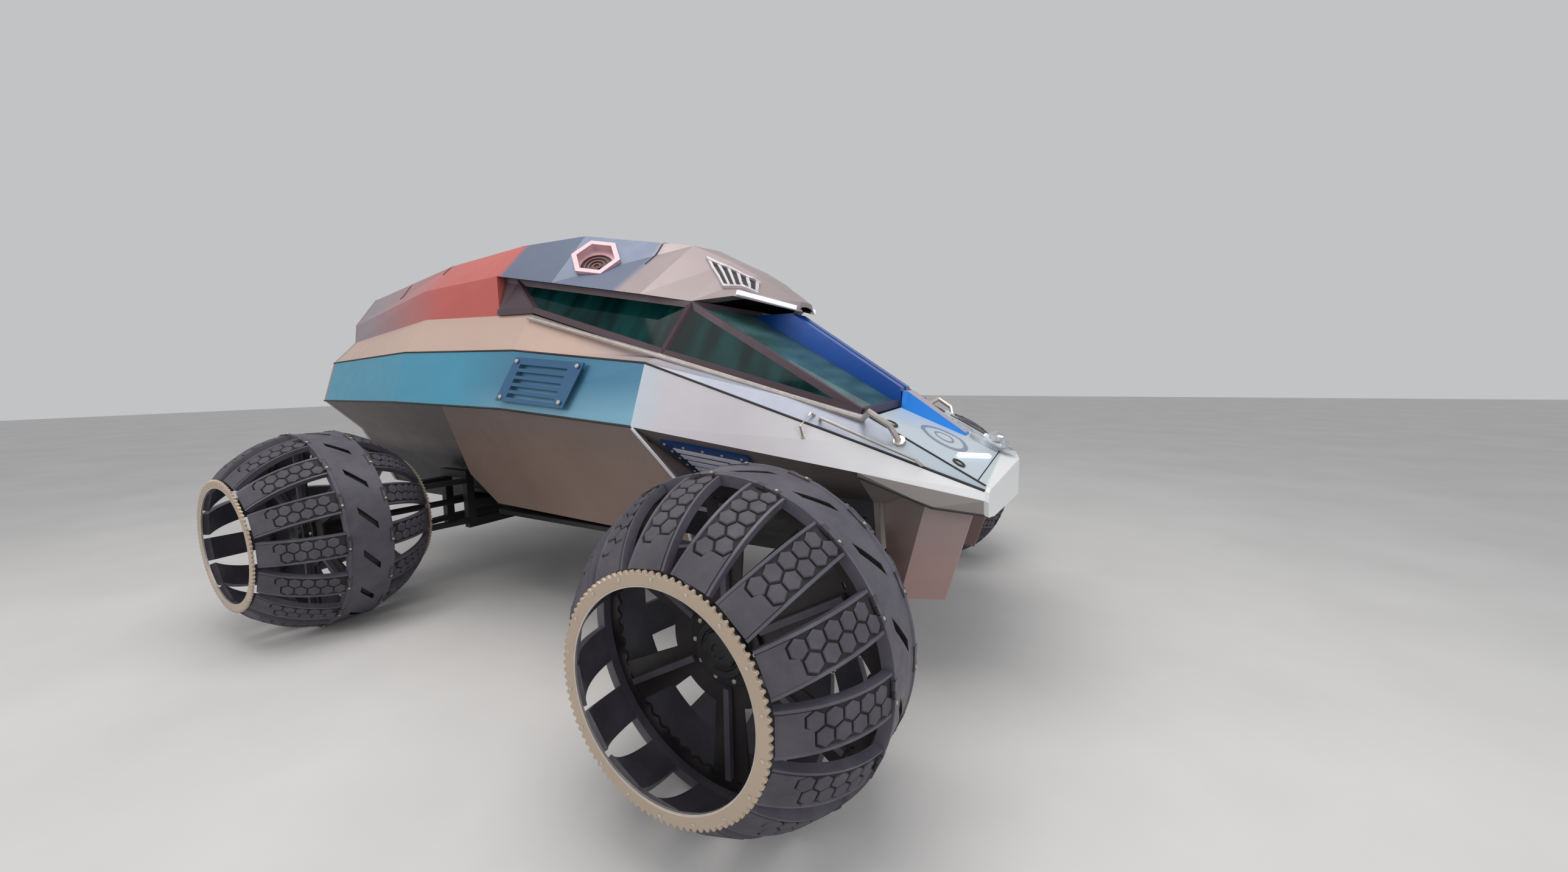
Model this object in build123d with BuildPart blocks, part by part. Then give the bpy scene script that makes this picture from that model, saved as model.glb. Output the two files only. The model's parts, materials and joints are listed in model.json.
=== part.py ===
from build123d import *
import os
from math import asin, cos, hypot, pi, sin

# A crewed planetary show rover: wedge-nosed cabin on four open cage wheels.
# Millimetres, +X ahead, +Y to the left, +Z up. The origin is on the floor, midway along the length.

os.makedirs("parts", exist_ok=True)

# Driving dimensions
WHEELBASE = 3400
NOSE_AHEAD = 850  # nose tip ahead of the front axle
TAIL_BEHIND = 1350  # tail behind the rear axle
WHEEL_Y = 1650  # wheel centre plane from the middle of the body
WHEEL_R = 650  # floor to axle
FRONT_AXLE_X = (WHEELBASE + TAIL_BEHIND - NOSE_AHEAD) / 2
REAR_AXLE_X = FRONT_AXLE_X - WHEELBASE
NOSE_X = FRONT_AXLE_X + NOSE_AHEAD
TAIL_X = REAR_AXLE_X - TAIL_BEHIND

# Walls and clearances
SKIN = 40  # flank panels, measured across the car
DECK = 30  # shoulder, roof and floor panels, measured down
GLASS = 10
RUN_GAP = 6  # between a moving panel and the body
SEAT_GAP = 0.3  # between a piece and the one that carries it

# Body stations, from the tail to the nose corner
CORNER_X = NOSE_X - 90
SCREEN_X = FRONT_AXLE_X + 180
CREASE_X = FRONT_AXLE_X - 990
SILL_X = FRONT_AXLE_X - 2100
STATION_X = [TAIL_X, REAR_AXLE_X, SILL_X, CREASE_X, SCREEN_X, CORNER_X]

# Body lines at those stations: half width and height of each line
#            tail          rear axle     sill          crease        windscreen   nose corner
RAIL_LINE = [(760, 1990), (860, 2110), (900, 2070), (900, 1762), (690, 1430), (672, 1112)]
TOP_LINE = [(940, 1800), (1040, 1850), (1055, 1825), (1050, 1722), (816, 1306), (705, 1095)]
LOW_LINE = [(1040, 1470), (1150, 1480), (1180, 1455), (1180, 1380), (859, 1166), (715, 1050)]
WELL_LINE = [(780, 1200), (860, 1180), (900, 1150), (880, 1080), (600, 960), (560, 962)]

FLOOR_Z = 700  # top of the floor
TUB_Y = 540  # half width of the floor between the wheels
ROCKER_Y = 930  # half width at the bottom of the lower flank
ROCKER_FRONT_X = FRONT_AXLE_X - 800
ROCKER_REAR_X = FRONT_AXLE_X - 2550
ROCKER_RAKE = 45  # how much lower the rocker is at its front end
CHAMFER_X = 200  # run of the lower flank's slanted rear edge
CHAMFER_Z = 260  # rise of that edge
FLANK_SLANT = 300  # drop of the lower flank's slanted front edge

CROWN_SCREEN_Z = 1450  # middle of the bonnet at the windscreen
CROWN_CORNER_Z = 1196  # middle of the bonnet at the nose corners
LID_T = 25
LIP = 20  # ledge of the shoulder inside the rail line
CHIN_Z = 951  # lowest point of the nose


def on_line(line, x):
    """Half width and height of a body line at x, straight between stations."""
    for i in range(len(STATION_X) - 1):
        low_x, high_x = STATION_X[i], STATION_X[i + 1]
        if x <= high_x or i == len(STATION_X) - 2:
            share = (x - low_x) / (high_x - low_x)
            (y0, z0), (y1, z1) = line[i], line[i + 1]
            return (y0 + share * (y1 - y0), z0 + share * (z1 - z0))


def stations_between(x0, x1):
    """The two ends and each body station between them."""
    return [x0] + [x for x in STATION_X if x0 + 1 < x < x1 - 1] + [x1]


def facets(a, b, c, d):
    """One flat face through four corners, or two triangles where they aren't in one plane."""
    normal = (c - a).cross(d - b).normalized()
    if abs((b - a).dot(normal)) < 1e-7:
        return [[a, b, c, d]]
    if (abs(a.Y), a.Z) > (abs(b.Y), b.Z):
        return [[a, b, c], [a, c, d]]
    return [[a, b, d], [b, c, d]]


def faceted(sections):
    """A body with flat facets between outlines that have the same number of corners."""
    outlines = [sections[0], sections[-1]]
    for rear, front in zip(sections, sections[1:]):
        for i, corner in enumerate(rear):
            outlines += facets(rear[i - 1], corner, front[i], front[i - 1])
    with BuildPart() as body:
        add(Solid(Shell([Face(Wire.make_polygon(outline)) for outline in outlines])))
    return body.part


def loft_sections(xs, section, side=-1):
    """A body through upright sections: section(x) gives (y, z) corners, y out from the middle."""
    return faceted([[Vector(x, side * y, z) for y, z in section(x)] for x in xs])


def skin_loft(x0, x1, section):
    return loft_sections(stations_between(x0, x1), section)


def upright_section(upper, lower, wall=SKIN):
    """Section of a panel that runs from one body line down to another, wall thick across the car."""

    def section(x):
        (y0, z0), (y1, z1) = on_line(upper, x), on_line(lower, x)
        return [(y0, z0), (y1, z1), (y1 - wall, z1), (y0 - wall, z0)]

    return section


def whole(half):
    """Close a half section, listed from the middle outwards, into one across the car."""
    return half + [(-y, z) for y, z in reversed(half) if y != 0]


def slab(points, z0, z1):
    """A flat plan outline, from z0 up to z1."""
    with BuildPart() as body:
        with BuildSketch(Plane.XY.offset(z0)):
            with BuildLine():
                Polyline(points, close=True)
            make_face()
        extrude(amount=z1 - z0)
    return body.part


def side_cut(points, y0, y1):
    """A side outline in (x, z), from y0 to y1."""
    with BuildPart() as body:
        with BuildSketch(Plane.XZ.offset(-y1)):
            with BuildLine():
                Polyline(points, close=True)
            make_face()
        extrude(amount=y1 - y0)
    return body.part


def bar(start, end, width, height):
    """A straight square bar between two points, its height upright."""
    run = Vector(*end) - Vector(*start)
    across = Vector(0, 0, 1).cross(run)
    with BuildPart() as body:
        with BuildSketch(Plane(origin=start, x_dir=across, z_dir=run)):
            Rectangle(width, height)
        extrude(amount=run.length)
    return body.part


def rod(start, end, radius, sides=12):
    """A straight many-sided rod between two points, radius to its flats."""
    run = Vector(*end) - Vector(*start)
    with BuildPart() as body:
        with BuildSketch(Plane(origin=start, z_dir=run)):
            RegularPolygon(radius, sides, major_radius=False)
        extrude(amount=run.length)
    return body.part


def pin(start, end, radius):
    """A round pin between two points."""
    run = Vector(*end) - Vector(*start)
    with BuildPart() as body:
        with BuildSketch(Plane(origin=start, z_dir=run)):
            Circle(radius)
        extrude(amount=run.length)
    return body.part


def block(centre, size):
    """A plain block about a centre."""
    with BuildPart() as body:
        with Locations(centre):
            Box(*size)
    return body.part


def joined(*pieces):
    """Pieces fused, or kept side by side where they don't touch."""
    with BuildPart() as body:
        for piece in pieces:
            add(piece)
    return body.part


def cut_from(piece, *cutters):
    with BuildPart() as body:
        add(piece)
        for cutter in cutters:
            add(cutter, mode=Mode.SUBTRACT)
    return body.part


def mirrored(piece):
    with BuildPart() as body:
        mirror(piece, about=Plane.XZ)
    return body.part


def tube(points, radius, sides=8):
    """A bent many-sided tube, shown solid, along straight stretches with mitred corners."""
    run = Vector(*points[1]) - Vector(*points[0])
    with BuildPart() as body:
        with BuildLine():
            Polyline(points)
        with BuildSketch(Plane(origin=points[0], z_dir=run)):
            RegularPolygon(radius, sides)
        sweep(transition=Transition.RIGHT)
    return body.part


def panel(corners, under, over):
    """A flat panel about the plane of its first three corners, from under it to over it."""
    origin, along = Vector(*corners[0]), Vector(*corners[1]) - Vector(*corners[0])
    plane = Plane(origin=origin, x_dir=along, z_dir=(Vector(*corners[2]) - origin).cross(along))
    outline = [plane.to_local_coords(Vector(*corner)) for corner in corners]
    with BuildPart() as body:
        with BuildSketch(plane.offset(under)):
            with BuildLine():
                Polyline([(corner.X, corner.Y) for corner in outline], close=True)
            make_face()
        extrude(amount=over - under)
    return body.part


def on_side(piece, side):
    """A right-hand piece, or its mirror image for the left."""
    return piece if side < 0 else mirrored(piece)


def finish(part, name):
    """Label a piece and write it."""
    part.label = name
    export_step(part, f"parts/{name}.step")
    return part


def both_sides(part, name):
    """Write a right-hand piece and its mirror image as two nodes."""
    finish(part, name + "_right")
    finish(mirrored(part), name + "_left")


# Flank: the band between the two dark lines, split at the crease
INNER_TAIL_X = TAIL_X + SKIN
flank_front = skin_loft(CREASE_X, CORNER_X, upright_section(TOP_LINE, LOW_LINE))
both_sides(flank_front, "flank_front")
flank_rear = skin_loft(INNER_TAIL_X, CREASE_X, upright_section(TOP_LINE, LOW_LINE))
both_sides(flank_rear, "flank_rear")


# Shoulder: the deck between the window sill and the flank
def shoulder_section(x):
    (y0, z0), (y1, z1) = on_line(RAIL_LINE, x), on_line(TOP_LINE, x)
    return [(y0, z0), (y1, z1), (y1 - SKIN, z1), (y1 - SKIN, z1 - DECK), (y0 - LIP, z0 - DECK), (y0 - LIP, z0)]


shoulder = skin_loft(INNER_TAIL_X, CORNER_X, shoulder_section)

# Bonnet hinge: an axis along the left seam, just above the surface, with knuckles at two stations
KNUCKLE_R = 9
KNUCKLE_L = 40
LEAF_W = 20
HINGE_RISE = KNUCKLE_R + 3
hinge_x = [SCREEN_X + 120, CORNER_X - 160]


def seam_point(x):
    y0, z0 = on_line(RAIL_LINE, x)
    return Vector(x, y0 - LIP - RUN_GAP / 2, z0 + HINGE_RISE)


def knuckle(x0, x1, side):
    """A barrel on the hinge axis with its leaf, towards the lid (-1) or the shoulder (1)."""
    start, end = seam_point(x0), seam_point(x1)
    across = Vector(0, 0, 1).cross(end - start).normalized()
    down = across.cross(end - start).normalized()
    leaf = across * side * LEAF_W / 2 + down * HINGE_RISE / 2
    return joined(pin(start, end, KNUCKLE_R), bar(start + leaf, end + leaf, LEAF_W, HINGE_RISE))


lid_knuckles = joined(*[knuckle(x, x + KNUCKLE_L, -1) for x in hinge_x])
body_knuckles = joined(
    *[knuckle(x - SEAT_GAP - KNUCKLE_L / 2, x - SEAT_GAP, 1) for x in hinge_x],
    *[knuckle(x + KNUCKLE_L + SEAT_GAP, x + 1.5 * KNUCKLE_L + SEAT_GAP, 1) for x in hinge_x],
)
finish(shoulder, "shoulder_right")
finish(joined(mirrored(shoulder), body_knuckles), "shoulder_left")


# Lower flank: tucked in below the flank, between the wheels
def rocker(x):
    share = (x - ROCKER_REAR_X) / (ROCKER_FRONT_X - ROCKER_REAR_X)
    return (ROCKER_Y, FLOOR_Z + ROCKER_RAKE * (1 - share))


def lower_flank_section(x):
    (y0, z0), (y1, z1) = on_line(LOW_LINE, x), rocker(x)
    return [(y0, z0), (y1, z1), (y1 - SKIN, z1), (y0 - SKIN, z0)]


FLANK_END_X = ROCKER_REAR_X - CHAMFER_X
crease_low = on_line(LOW_LINE, CREASE_X)[1]
front_slant = [
    (CREASE_X, crease_low),
    (ROCKER_FRONT_X, crease_low - FLANK_SLANT),
    (ROCKER_FRONT_X + SKIN, crease_low - FLANK_SLANT),
    (ROCKER_FRONT_X + SKIN, crease_low + SKIN),
    (CREASE_X, crease_low + SKIN),
]
rear_slant = [
    (ROCKER_REAR_X, FLOOR_Z - SKIN),
    (ROCKER_REAR_X, FLOOR_Z + ROCKER_RAKE),
    (FLANK_END_X, FLOOR_Z + CHAMFER_Z),
    (FLANK_END_X - SKIN, FLOOR_Z + CHAMFER_Z),
    (FLANK_END_X - SKIN, FLOOR_Z - SKIN),
]
lower_flank = cut_from(
    skin_loft(FLANK_END_X, ROCKER_FRONT_X, lower_flank_section),
    side_cut(front_slant, -2 * ROCKER_Y, 0),
    side_cut(rear_slant, -2 * ROCKER_Y, 0),
)
both_sides(lower_flank, "lower_flank")


# Wheel wells: liners below the flank and the walls of the tub, ahead of and behind the lower flank
def tub_wall_section(x):
    y0, z0 = on_line(WELL_LINE, x)
    return [(y0, z0), (TUB_Y, FLOOR_Z), (TUB_Y - DECK, FLOOR_Z), (y0 - SKIN, z0)]


def well_side(x0, x1):
    return joined(
        skin_loft(x0, x1, upright_section(LOW_LINE, WELL_LINE)),
        skin_loft(x0, x1, tub_wall_section),
    )


def well_end(x):
    """Plate that closes the lower flank's box at one end, across to the tub."""
    (y_low, z_low), (y_well, z_well), (y_rock, z_rock) = on_line(LOW_LINE, x), on_line(WELL_LINE, x), rocker(x)
    share = (z_low - z_well) / (z_low - z_rock)
    y_mid = y_low + share * (y_rock - y_low) - SKIN
    return [(y_mid, z_well), (y_rock - SKIN, z_rock), (TUB_Y - DECK, z_rock), (y_well - SKIN, z_well)]


def slant_section(x):
    """Plate behind the lower flank's slanted front edge, from its inner face to the liner."""
    (y_low, z_low), (y_well, z_well), (y_rock, z_rock) = on_line(LOW_LINE, x), on_line(WELL_LINE, x), rocker(x)
    z = crease_low - FLANK_SLANT * (x - CREASE_X) / (ROCKER_FRONT_X - CREASE_X)
    outer = [(y_low + (y_rock - y_low) * (z_low - h) / (z_low - z_rock) - SKIN, h) for h in (z, z - DECK)]
    inner = [(y_low + (y_well - y_low) * (z_low - h) / (z_low - z_well) - SKIN / 2, h) for h in (z - DECK, z)]
    return outer + inner


liner = cut_from(skin_loft(CREASE_X, SCREEN_X, upright_section(LOW_LINE, WELL_LINE)), lower_flank)
front_well = joined(
    liner,
    skin_loft(ROCKER_FRONT_X, SCREEN_X, tub_wall_section),
    loft_sections([ROCKER_FRONT_X - DECK, ROCKER_FRONT_X], well_end),
    cut_from(loft_sections([CREASE_X + 60, ROCKER_FRONT_X], slant_section), lower_flank),
)
rear_well = well_side(INNER_TAIL_X, FLANK_END_X)
finish(joined(front_well, mirrored(front_well)), "front_wells")
finish(joined(rear_well, mirrored(rear_well)), "rear_wells")

# Floor: wide between the lower flanks, narrow between the wheels
FLOOR_LOW = FLOOR_Z - DECK
floor_half = [
    (INNER_TAIL_X, TUB_Y),
    (FLANK_END_X, TUB_Y),
    (ROCKER_REAR_X, ROCKER_Y),
    (ROCKER_FRONT_X, ROCKER_Y),
    (ROCKER_FRONT_X, TUB_Y),
    (SCREEN_X, TUB_Y),
]
floor_pan = slab(floor_half + [(x, -y) for x, y in reversed(floor_half)], FLOOR_LOW, FLOOR_Z)
finish(floor_pan, "floor_pan")

# Nose: side facets below the flank, a bottom plate, a front bulkhead and the blunt cap
BEND_X = FRONT_AXLE_X + 530
CHIN_LINE = [(SCREEN_X, 846, 1140), (BEND_X, 790, 1010), (CORNER_X, 700, 977)]


def on_chin(x):
    for (x0, y0, z0), (x1, y1, z1) in zip(CHIN_LINE, CHIN_LINE[1:]):
        if x <= x1:
            share = (x - x0) / (x1 - x0)
            return (y0 + share * (y1 - y0), z0 + share * (z1 - z0))


def nose_side_section(x):
    (y0, z0), (y1, z1) = on_line(LOW_LINE, x), on_chin(x)
    return [(y0, z0), (y1, z1), (y1 - SKIN, z1), (y0 - SKIN, z0)]


def nose_floor_section(x):
    y1, z1 = on_chin(x)
    y_low, z_low = on_line(WELL_LINE, x)
    upper = [(0, z_low + DECK), (y_low, z_low + DECK), (y1 - SKIN, z1)]
    return whole(upper + [(y1, z1), (y_low, z_low), (0, z_low)])


nose_xs = [SCREEN_X, BEND_X, CORNER_X]
nose_side = loft_sections(nose_xs, nose_side_section)


def lid_section(x):
    """The bonnet's crowned plate."""
    share = (x - SCREEN_X) / (CORNER_X - SCREEN_X)
    crown = CROWN_SCREEN_Z + share * (CROWN_CORNER_Z - CROWN_SCREEN_Z)
    y0, z0 = on_line(RAIL_LINE, x)
    edge = y0 - LIP - RUN_GAP
    return [(0, crown), (edge, z0), (edge, z0 - LID_T), (0, crown - LID_T), (-edge, z0 - LID_T), (-edge, z0)]


lid_blank = loft_sections([SCREEN_X + RUN_GAP, CORNER_X], lid_section)
lid_slope = (CROWN_SCREEN_Z - CROWN_CORNER_Z) / (CORNER_X - SCREEN_X)
CAP_TOP = 10  # depth of the nose cap behind the corners, along its middle
lid_front = Plane(
    origin=(CORNER_X - CAP_TOP, 0, CROWN_CORNER_Z + lid_slope * CAP_TOP),
    x_dir=(0, 1, 0),
    z_dir=(1, 0, -lid_slope),
)


def cap_outline():
    rail, top, low, well = (on_line(line, CORNER_X) for line in (RAIL_LINE, TOP_LINE, LOW_LINE, WELL_LINE))
    lid_edge = (rail[0] - LIP - RUN_GAP, rail[1])
    return whole([(0, CROWN_CORNER_Z), lid_edge, rail, top, low, on_chin(CORNER_X), well, (0, well[1])])


CAP_EDGE = 12  # thickness of the nose cap at its corners
cap_y = on_line(LOW_LINE, CORNER_X)[0] + SKIN
with BuildPart() as nose_cap:
    with BuildSketch(Plane.YZ.offset(CORNER_X)):
        with BuildLine():
            Polyline(cap_outline(), close=True)
        make_face()
    extrude(amount=(NOSE_X - CORNER_X) * hypot(1, lid_slope), dir=(1, 0, -lid_slope))
    add(
        slab(
            [
                (CORNER_X + CAP_EDGE, -cap_y),
                (NOSE_X, 0),
                (CORNER_X + CAP_EDGE, cap_y),
                (NOSE_X + cap_y, cap_y),
                (NOSE_X + cap_y, -cap_y),
            ],
            0,
            2 * CROWN_CORNER_Z,
        ),
        mode=Mode.SUBTRACT,
    )
    with Locations((NOSE_X, 0, CHIN_Z / 2)):
        Box(2 * (NOSE_X - CORNER_X), 2 * cap_y, CHIN_Z, mode=Mode.SUBTRACT)

with BuildPart() as lid_end:
    add(lid_blank)
    split(bisect_by=lid_front, keep=Keep.TOP)

screen_well_y, screen_well_z = on_line(WELL_LINE, SCREEN_X)
bulkhead = loft_sections(
    [SCREEN_X, SCREEN_X + DECK],
    lambda x: whole(
        [(0, screen_well_z + DECK / 2), (screen_well_y, screen_well_z), (TUB_Y, FLOOR_LOW), (0, FLOOR_LOW)]
    ),
)
nose = joined(
    nose_side,
    mirrored(nose_side),
    loft_sections(nose_xs, nose_floor_section),
    bulkhead,
    nose_cap.part,
    lid_end.part,
)
finish(nose, "nose")

# Skirts: creased plates that hang below the nose, one each side
SKIRT_T = 30
SKIRT_FOOT_Z = 450
SKIRT_TOP_Z = 950
#              x                      half width at top / foot
SKIRT_TOP = [(SCREEN_X + 35, 600), (BEND_X, 780), (CORNER_X - 8, 688)]
SKIRT_FOOT = [(SCREEN_X + 70, 520), (FRONT_AXLE_X + 330, 600), (FRONT_AXLE_X + 550, 510)]
with BuildPart() as skirt_blank:
    for z, outer in ((SKIRT_FOOT_Z, SKIRT_FOOT), (SKIRT_TOP_Z + 200, SKIRT_TOP)):
        with BuildSketch(Plane.XY.offset(z)):
            with BuildLine():
                inner = [(x, y - SKIRT_T) for x, y in reversed(outer)]
                Polyline([(x, -y) for x, y in outer + inner], close=True)
            make_face()
    loft(ruled=True)


def above_nose_section(x):
    y1, z1 = on_chin(x)
    y_low, z_low = on_line(WELL_LINE, x)
    lower = [(0, z_low), (y_low, z_low), (y1, z1)]
    return whole(lower + [(y1 + SKIN, z1 + SKIN), (y1 + SKIN, 2 * z1), (0, 2 * z1)])


skirt = cut_from(skirt_blank.part, loft_sections([SCREEN_X, BEND_X, CORNER_X], above_nose_section))
finish(joined(skirt, mirrored(skirt)), "skirts")

# Bonnet: a side-hinged lid with the lower end of the spine on it
SPINE_Y = 100
KINK_X = SCREEN_X + 36
KINK_Z = 1542
SPINE_END_X = FRONT_AXLE_X + 560
SPINE_TOP_X = FRONT_AXLE_X - 560
SPINE_TOP_Z = 2056
with BuildPart() as bonnet:
    add(lid_blank)
    split(bisect_by=lid_front.offset(-RUN_GAP), keep=Keep.BOTTOM)
    add(lid_knuckles)
finish(bonnet.part, "bonnet")


def crown_z(x):
    return CROWN_SCREEN_Z - lid_slope * (x - SCREEN_X)


lower_x = SCREEN_X + RUN_GAP
with BuildPart() as bonnet_spine:
    for x, half_top, half_foot, top in (
        (lower_x, 80, 110, KINK_Z),
        (KINK_X, 80, 115, KINK_Z),
        (SPINE_END_X, 50, 75, crown_z(SPINE_END_X) + 12),
    ):
        with BuildSketch(Plane.YZ.offset(x)):
            with BuildLine():
                foot = crown_z(x) - 12
                Polyline([(-half_foot, foot), (-half_top, top), (half_top, top), (half_foot, foot)], close=True)
            make_face()
    loft(ruled=True)
    add(bonnet.part, mode=Mode.SUBTRACT)
finish(bonnet_spine.part, "bonnet_spine")

# Dome lamp on an oval base at the bonnet's tip
DOME_X = FRONT_AXLE_X + 700
DOME_R = 85
BASE_T = 20
lid_end_x = CORNER_X - CAP_TOP - RUN_GAP
over_cap = [
    (x, crown_z(x) + dz)
    for x, dz in ((lid_end_x, -DOME_R), (lid_end_x, RUN_GAP + 1), (NOSE_X, RUN_GAP + 1), (NOSE_X, -DOME_R))
]
DOME_CUTS = [(0, 1), (0.45, 0.9), (0.8, 0.6), (1, 0.12)]  # height and width of the dome, in radii
base_angles = [i * pi / 12 for i in range(24)]
with BuildPart() as dome_lamp:
    with BuildSketch(Plane(origin=(DOME_X, 0, crown_z(DOME_X)), x_dir=(1, 0, -lid_slope), z_dir=(lid_slope, 0, 1))):
        with BuildLine():
            Polyline([((DOME_R + 55) * cos(a), (DOME_R + 10) * sin(a)) for a in base_angles], close=True)
        make_face()
    extrude(amount=BASE_T)
    for height, width in DOME_CUTS:
        with BuildSketch(Plane.XY.offset(crown_z(DOME_X) + DOME_R * height)):
            with Locations((DOME_X + 20, 0)):
                RegularPolygon(DOME_R * width, 16)
    loft(ruled=True)
    add(bonnet.part, mode=Mode.SUBTRACT)
    add(side_cut(over_cap, -2 * DOME_R, 2 * DOME_R), mode=Mode.SUBTRACT)
    split(bisect_by=Plane(origin=(DOME_X, 0, crown_z(DOME_X) - 10), z_dir=(lid_slope, 0, 1)), keep=Keep.TOP)
finish(dome_lamp.part, "dome_lamp")


# Cabin frame points, right side
def plane_y(p, q, r, x, z):
    """Where the plane through three points has the given x and z."""
    n = (Vector(*q) - Vector(*p)).cross(Vector(*r) - Vector(*p))
    return p[1] - (n.X * (x - p[0]) + n.Z * (z - p[2])) / n.Y


def plane_z(p, q, r, x, y):
    """Where the plane through three points has the given x and y."""
    n = (Vector(*q) - Vector(*p)).cross(Vector(*r) - Vector(*p))
    return p[2] - (n.X * (x - p[0]) + n.Y * (y - p[1])) / n.Z


PILLAR = 40
FOOT_RISE = PILLAR / 2 + 2
screen_y, screen_z = on_line(RAIL_LINE, SCREEN_X)
crease_y, crease_z = on_line(RAIL_LINE, CREASE_X)
sill_y, sill_z = on_line(RAIL_LINE, SILL_X)
SCREEN_FOOT = (SCREEN_X - 44, -screen_y + 20, screen_z + FOOT_RISE)
SCREEN_MID = (SCREEN_X - 24, 0, CROWN_SCREEN_Z + FOOT_RISE)
APEX = (FRONT_AXLE_X - 930, -690, 2072)
B_FOOT = (CREASE_X + 10, -crease_y + 5, crease_z + FOOT_RISE)
C_FOOT = (SILL_X + 40, -sill_y + 5, sill_z + FOOT_RISE)
C_TOP_X, C_TOP_Z = FRONT_AXLE_X - 2330, 2310
C_TOP = (C_TOP_X, plane_y(B_FOOT, C_FOOT, APEX, C_TOP_X, C_TOP_Z), C_TOP_Z)
HEAD_X = APEX[0] + 60
HEAD_MID = (HEAD_X, 0, plane_z(SCREEN_FOOT, SCREEN_MID, APEX, HEAD_X, 0))


def plate(points, inset, thickness):
    """A flat plate between frame points, its edges inset from the lines between them."""
    origin, along = Vector(*points[0]), Vector(*points[1]) - Vector(*points[0])
    plane = Plane(origin=origin, x_dir=along, z_dir=along.cross(Vector(*points[2]) - origin))
    corners = [plane.to_local_coords(Vector(*p)) for p in points]
    with BuildPart() as body:
        with BuildSketch(plane):
            with BuildLine():
                Polyline([(c.X, c.Y) for c in corners], close=True)
            make_face()
            if inset:
                offset(amount=-inset, kind=Kind.INTERSECTION)
        extrude(amount=thickness / 2, both=True)
    return body.part


# Spine: twin dark beams down the middle of the windscreen, with a bright channel between them
spine_profile = [
    (SPINE_TOP_X, SPINE_TOP_Z),
    (SCREEN_X, KINK_Z + (SPINE_TOP_Z - KINK_Z) * (KINK_X - SCREEN_X) / (KINK_X - SPINE_TOP_X)),
    (SCREEN_X, SCREEN_MID[2] - PILLAR),
    (SCREEN_MID[0] - PILLAR, SCREEN_MID[2] - PILLAR),
    (HEAD_MID[0], HEAD_MID[2] - PILLAR),
    (HEAD_MID[0], SPINE_TOP_Z),
]
CHANNEL_W = 36
CHANNEL_DEEP = 22
channel_slope = (spine_profile[0][1] - spine_profile[1][1]) / (SCREEN_X - SPINE_TOP_X)
spine = cut_from(
    side_cut(spine_profile, -SPINE_Y, SPINE_Y),
    side_cut(
        [
            (SPINE_TOP_X, SPINE_TOP_Z - CHANNEL_DEEP),
            (SCREEN_X + 1, SPINE_TOP_Z - CHANNEL_DEEP - channel_slope * (SCREEN_X + 1 - SPINE_TOP_X)),
            (SCREEN_X + 1, SPINE_TOP_Z + 1),
            (SPINE_TOP_X, SPINE_TOP_Z + 1),
        ],
        -CHANNEL_W / 2,
        CHANNEL_W / 2,
    ),
)

PANE_INSET = 8
screen_pane = plate([SCREEN_FOOT, SCREEN_MID, HEAD_MID, APEX], PANE_INSET, GLASS)
front_pane = plate([B_FOOT, SCREEN_FOOT, APEX], PANE_INSET, GLASS)
rear_pane = plate([C_FOOT, B_FOOT, APEX, C_TOP], PANE_INSET, GLASS)
windscreen = cut_from(joined(screen_pane, mirrored(screen_pane)), spine)
side_glass = joined(front_pane, mirrored(front_pane), rear_pane, mirrored(rear_pane))
finish(windscreen, "windscreen")
finish(side_glass, "side_glass")


# Roof: a shell of stations ahead of the front axle, each with half width and height of its
# shoulder and the height of its middle; its lower edge lies on the cabin frame
def header_z(x):
    """Top of the frame bar above the side glass."""
    slope = (C_TOP[2] - APEX[2]) / (C_TOP[0] - APEX[0])
    return APEX[2] + slope * (x - APEX[0]) + PILLAR / 2 + SEAT_GAP


ROOF_TIP_X = FRONT_AXLE_X - 500
ROOF_END_X = FRONT_AXLE_X - 2450
#         x                     edge_y edge_z          shoulder_y shoulder_z middle_z
ROOF = [
    (ROOF_END_X, 890, header_z(ROOF_END_X), 660, 2600, 2680),
    (FRONT_AXLE_X - 1890, 900, header_z(FRONT_AXLE_X - 1890), 600, 2610, 2690),
    (FRONT_AXLE_X - 1190, 850, header_z(FRONT_AXLE_X - 1190), 320, 2520, 2545),
    (APEX[0], 700, header_z(APEX[0]), 230, 2400, 2410),
    (FRONT_AXLE_X - 760, 500, 2135, 190, 2300, 2310),
    (ROOF_TIP_X, 130, 2062, 80, 2125, 2130),
]
SOFFIT = 150


def roof_section(x):
    edge_y, edge_z, shoulder_y, shoulder_z, middle_z = next(row[1:] for row in ROOF if row[0] == x)
    soffit = min(SOFFIT, edge_y / 2)
    outer = [(0, middle_z), (shoulder_y, shoulder_z), (edge_y, edge_z)]
    inner = [
        (edge_y - soffit, edge_z),
        (edge_y - soffit, edge_z + DECK / 2),
        (edge_y - soffit / 2, edge_z + DECK / 2),
        (shoulder_y - DECK / 2, shoulder_z - DECK),
        (0, middle_z - DECK),
    ]
    return whole(outer + inner)


roof_blank = loft_sections([row[0] for row in ROOF], roof_section)

# Inlets: a six-sided cup set in a hole in each side of the roof
INLET_R = 170
INLET_RIM = 36
inlet_centre = Vector(FRONT_AXLE_X - 1720, -670, 2424)
rear_row, front_row = ROOF[1], ROOF[2]
facet_points = [
    Vector(rear_row[0], -rear_row[1], rear_row[2]),
    Vector(front_row[0], -front_row[3], front_row[4]),
    Vector(rear_row[0], -rear_row[3], rear_row[4]),
]
facet_normal = (facet_points[1] - facet_points[0]).cross(facet_points[2] - facet_points[0])
inlet_plane = Plane(origin=inlet_centre, x_dir=facet_points[1] - facet_points[0], z_dir=facet_normal)


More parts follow.
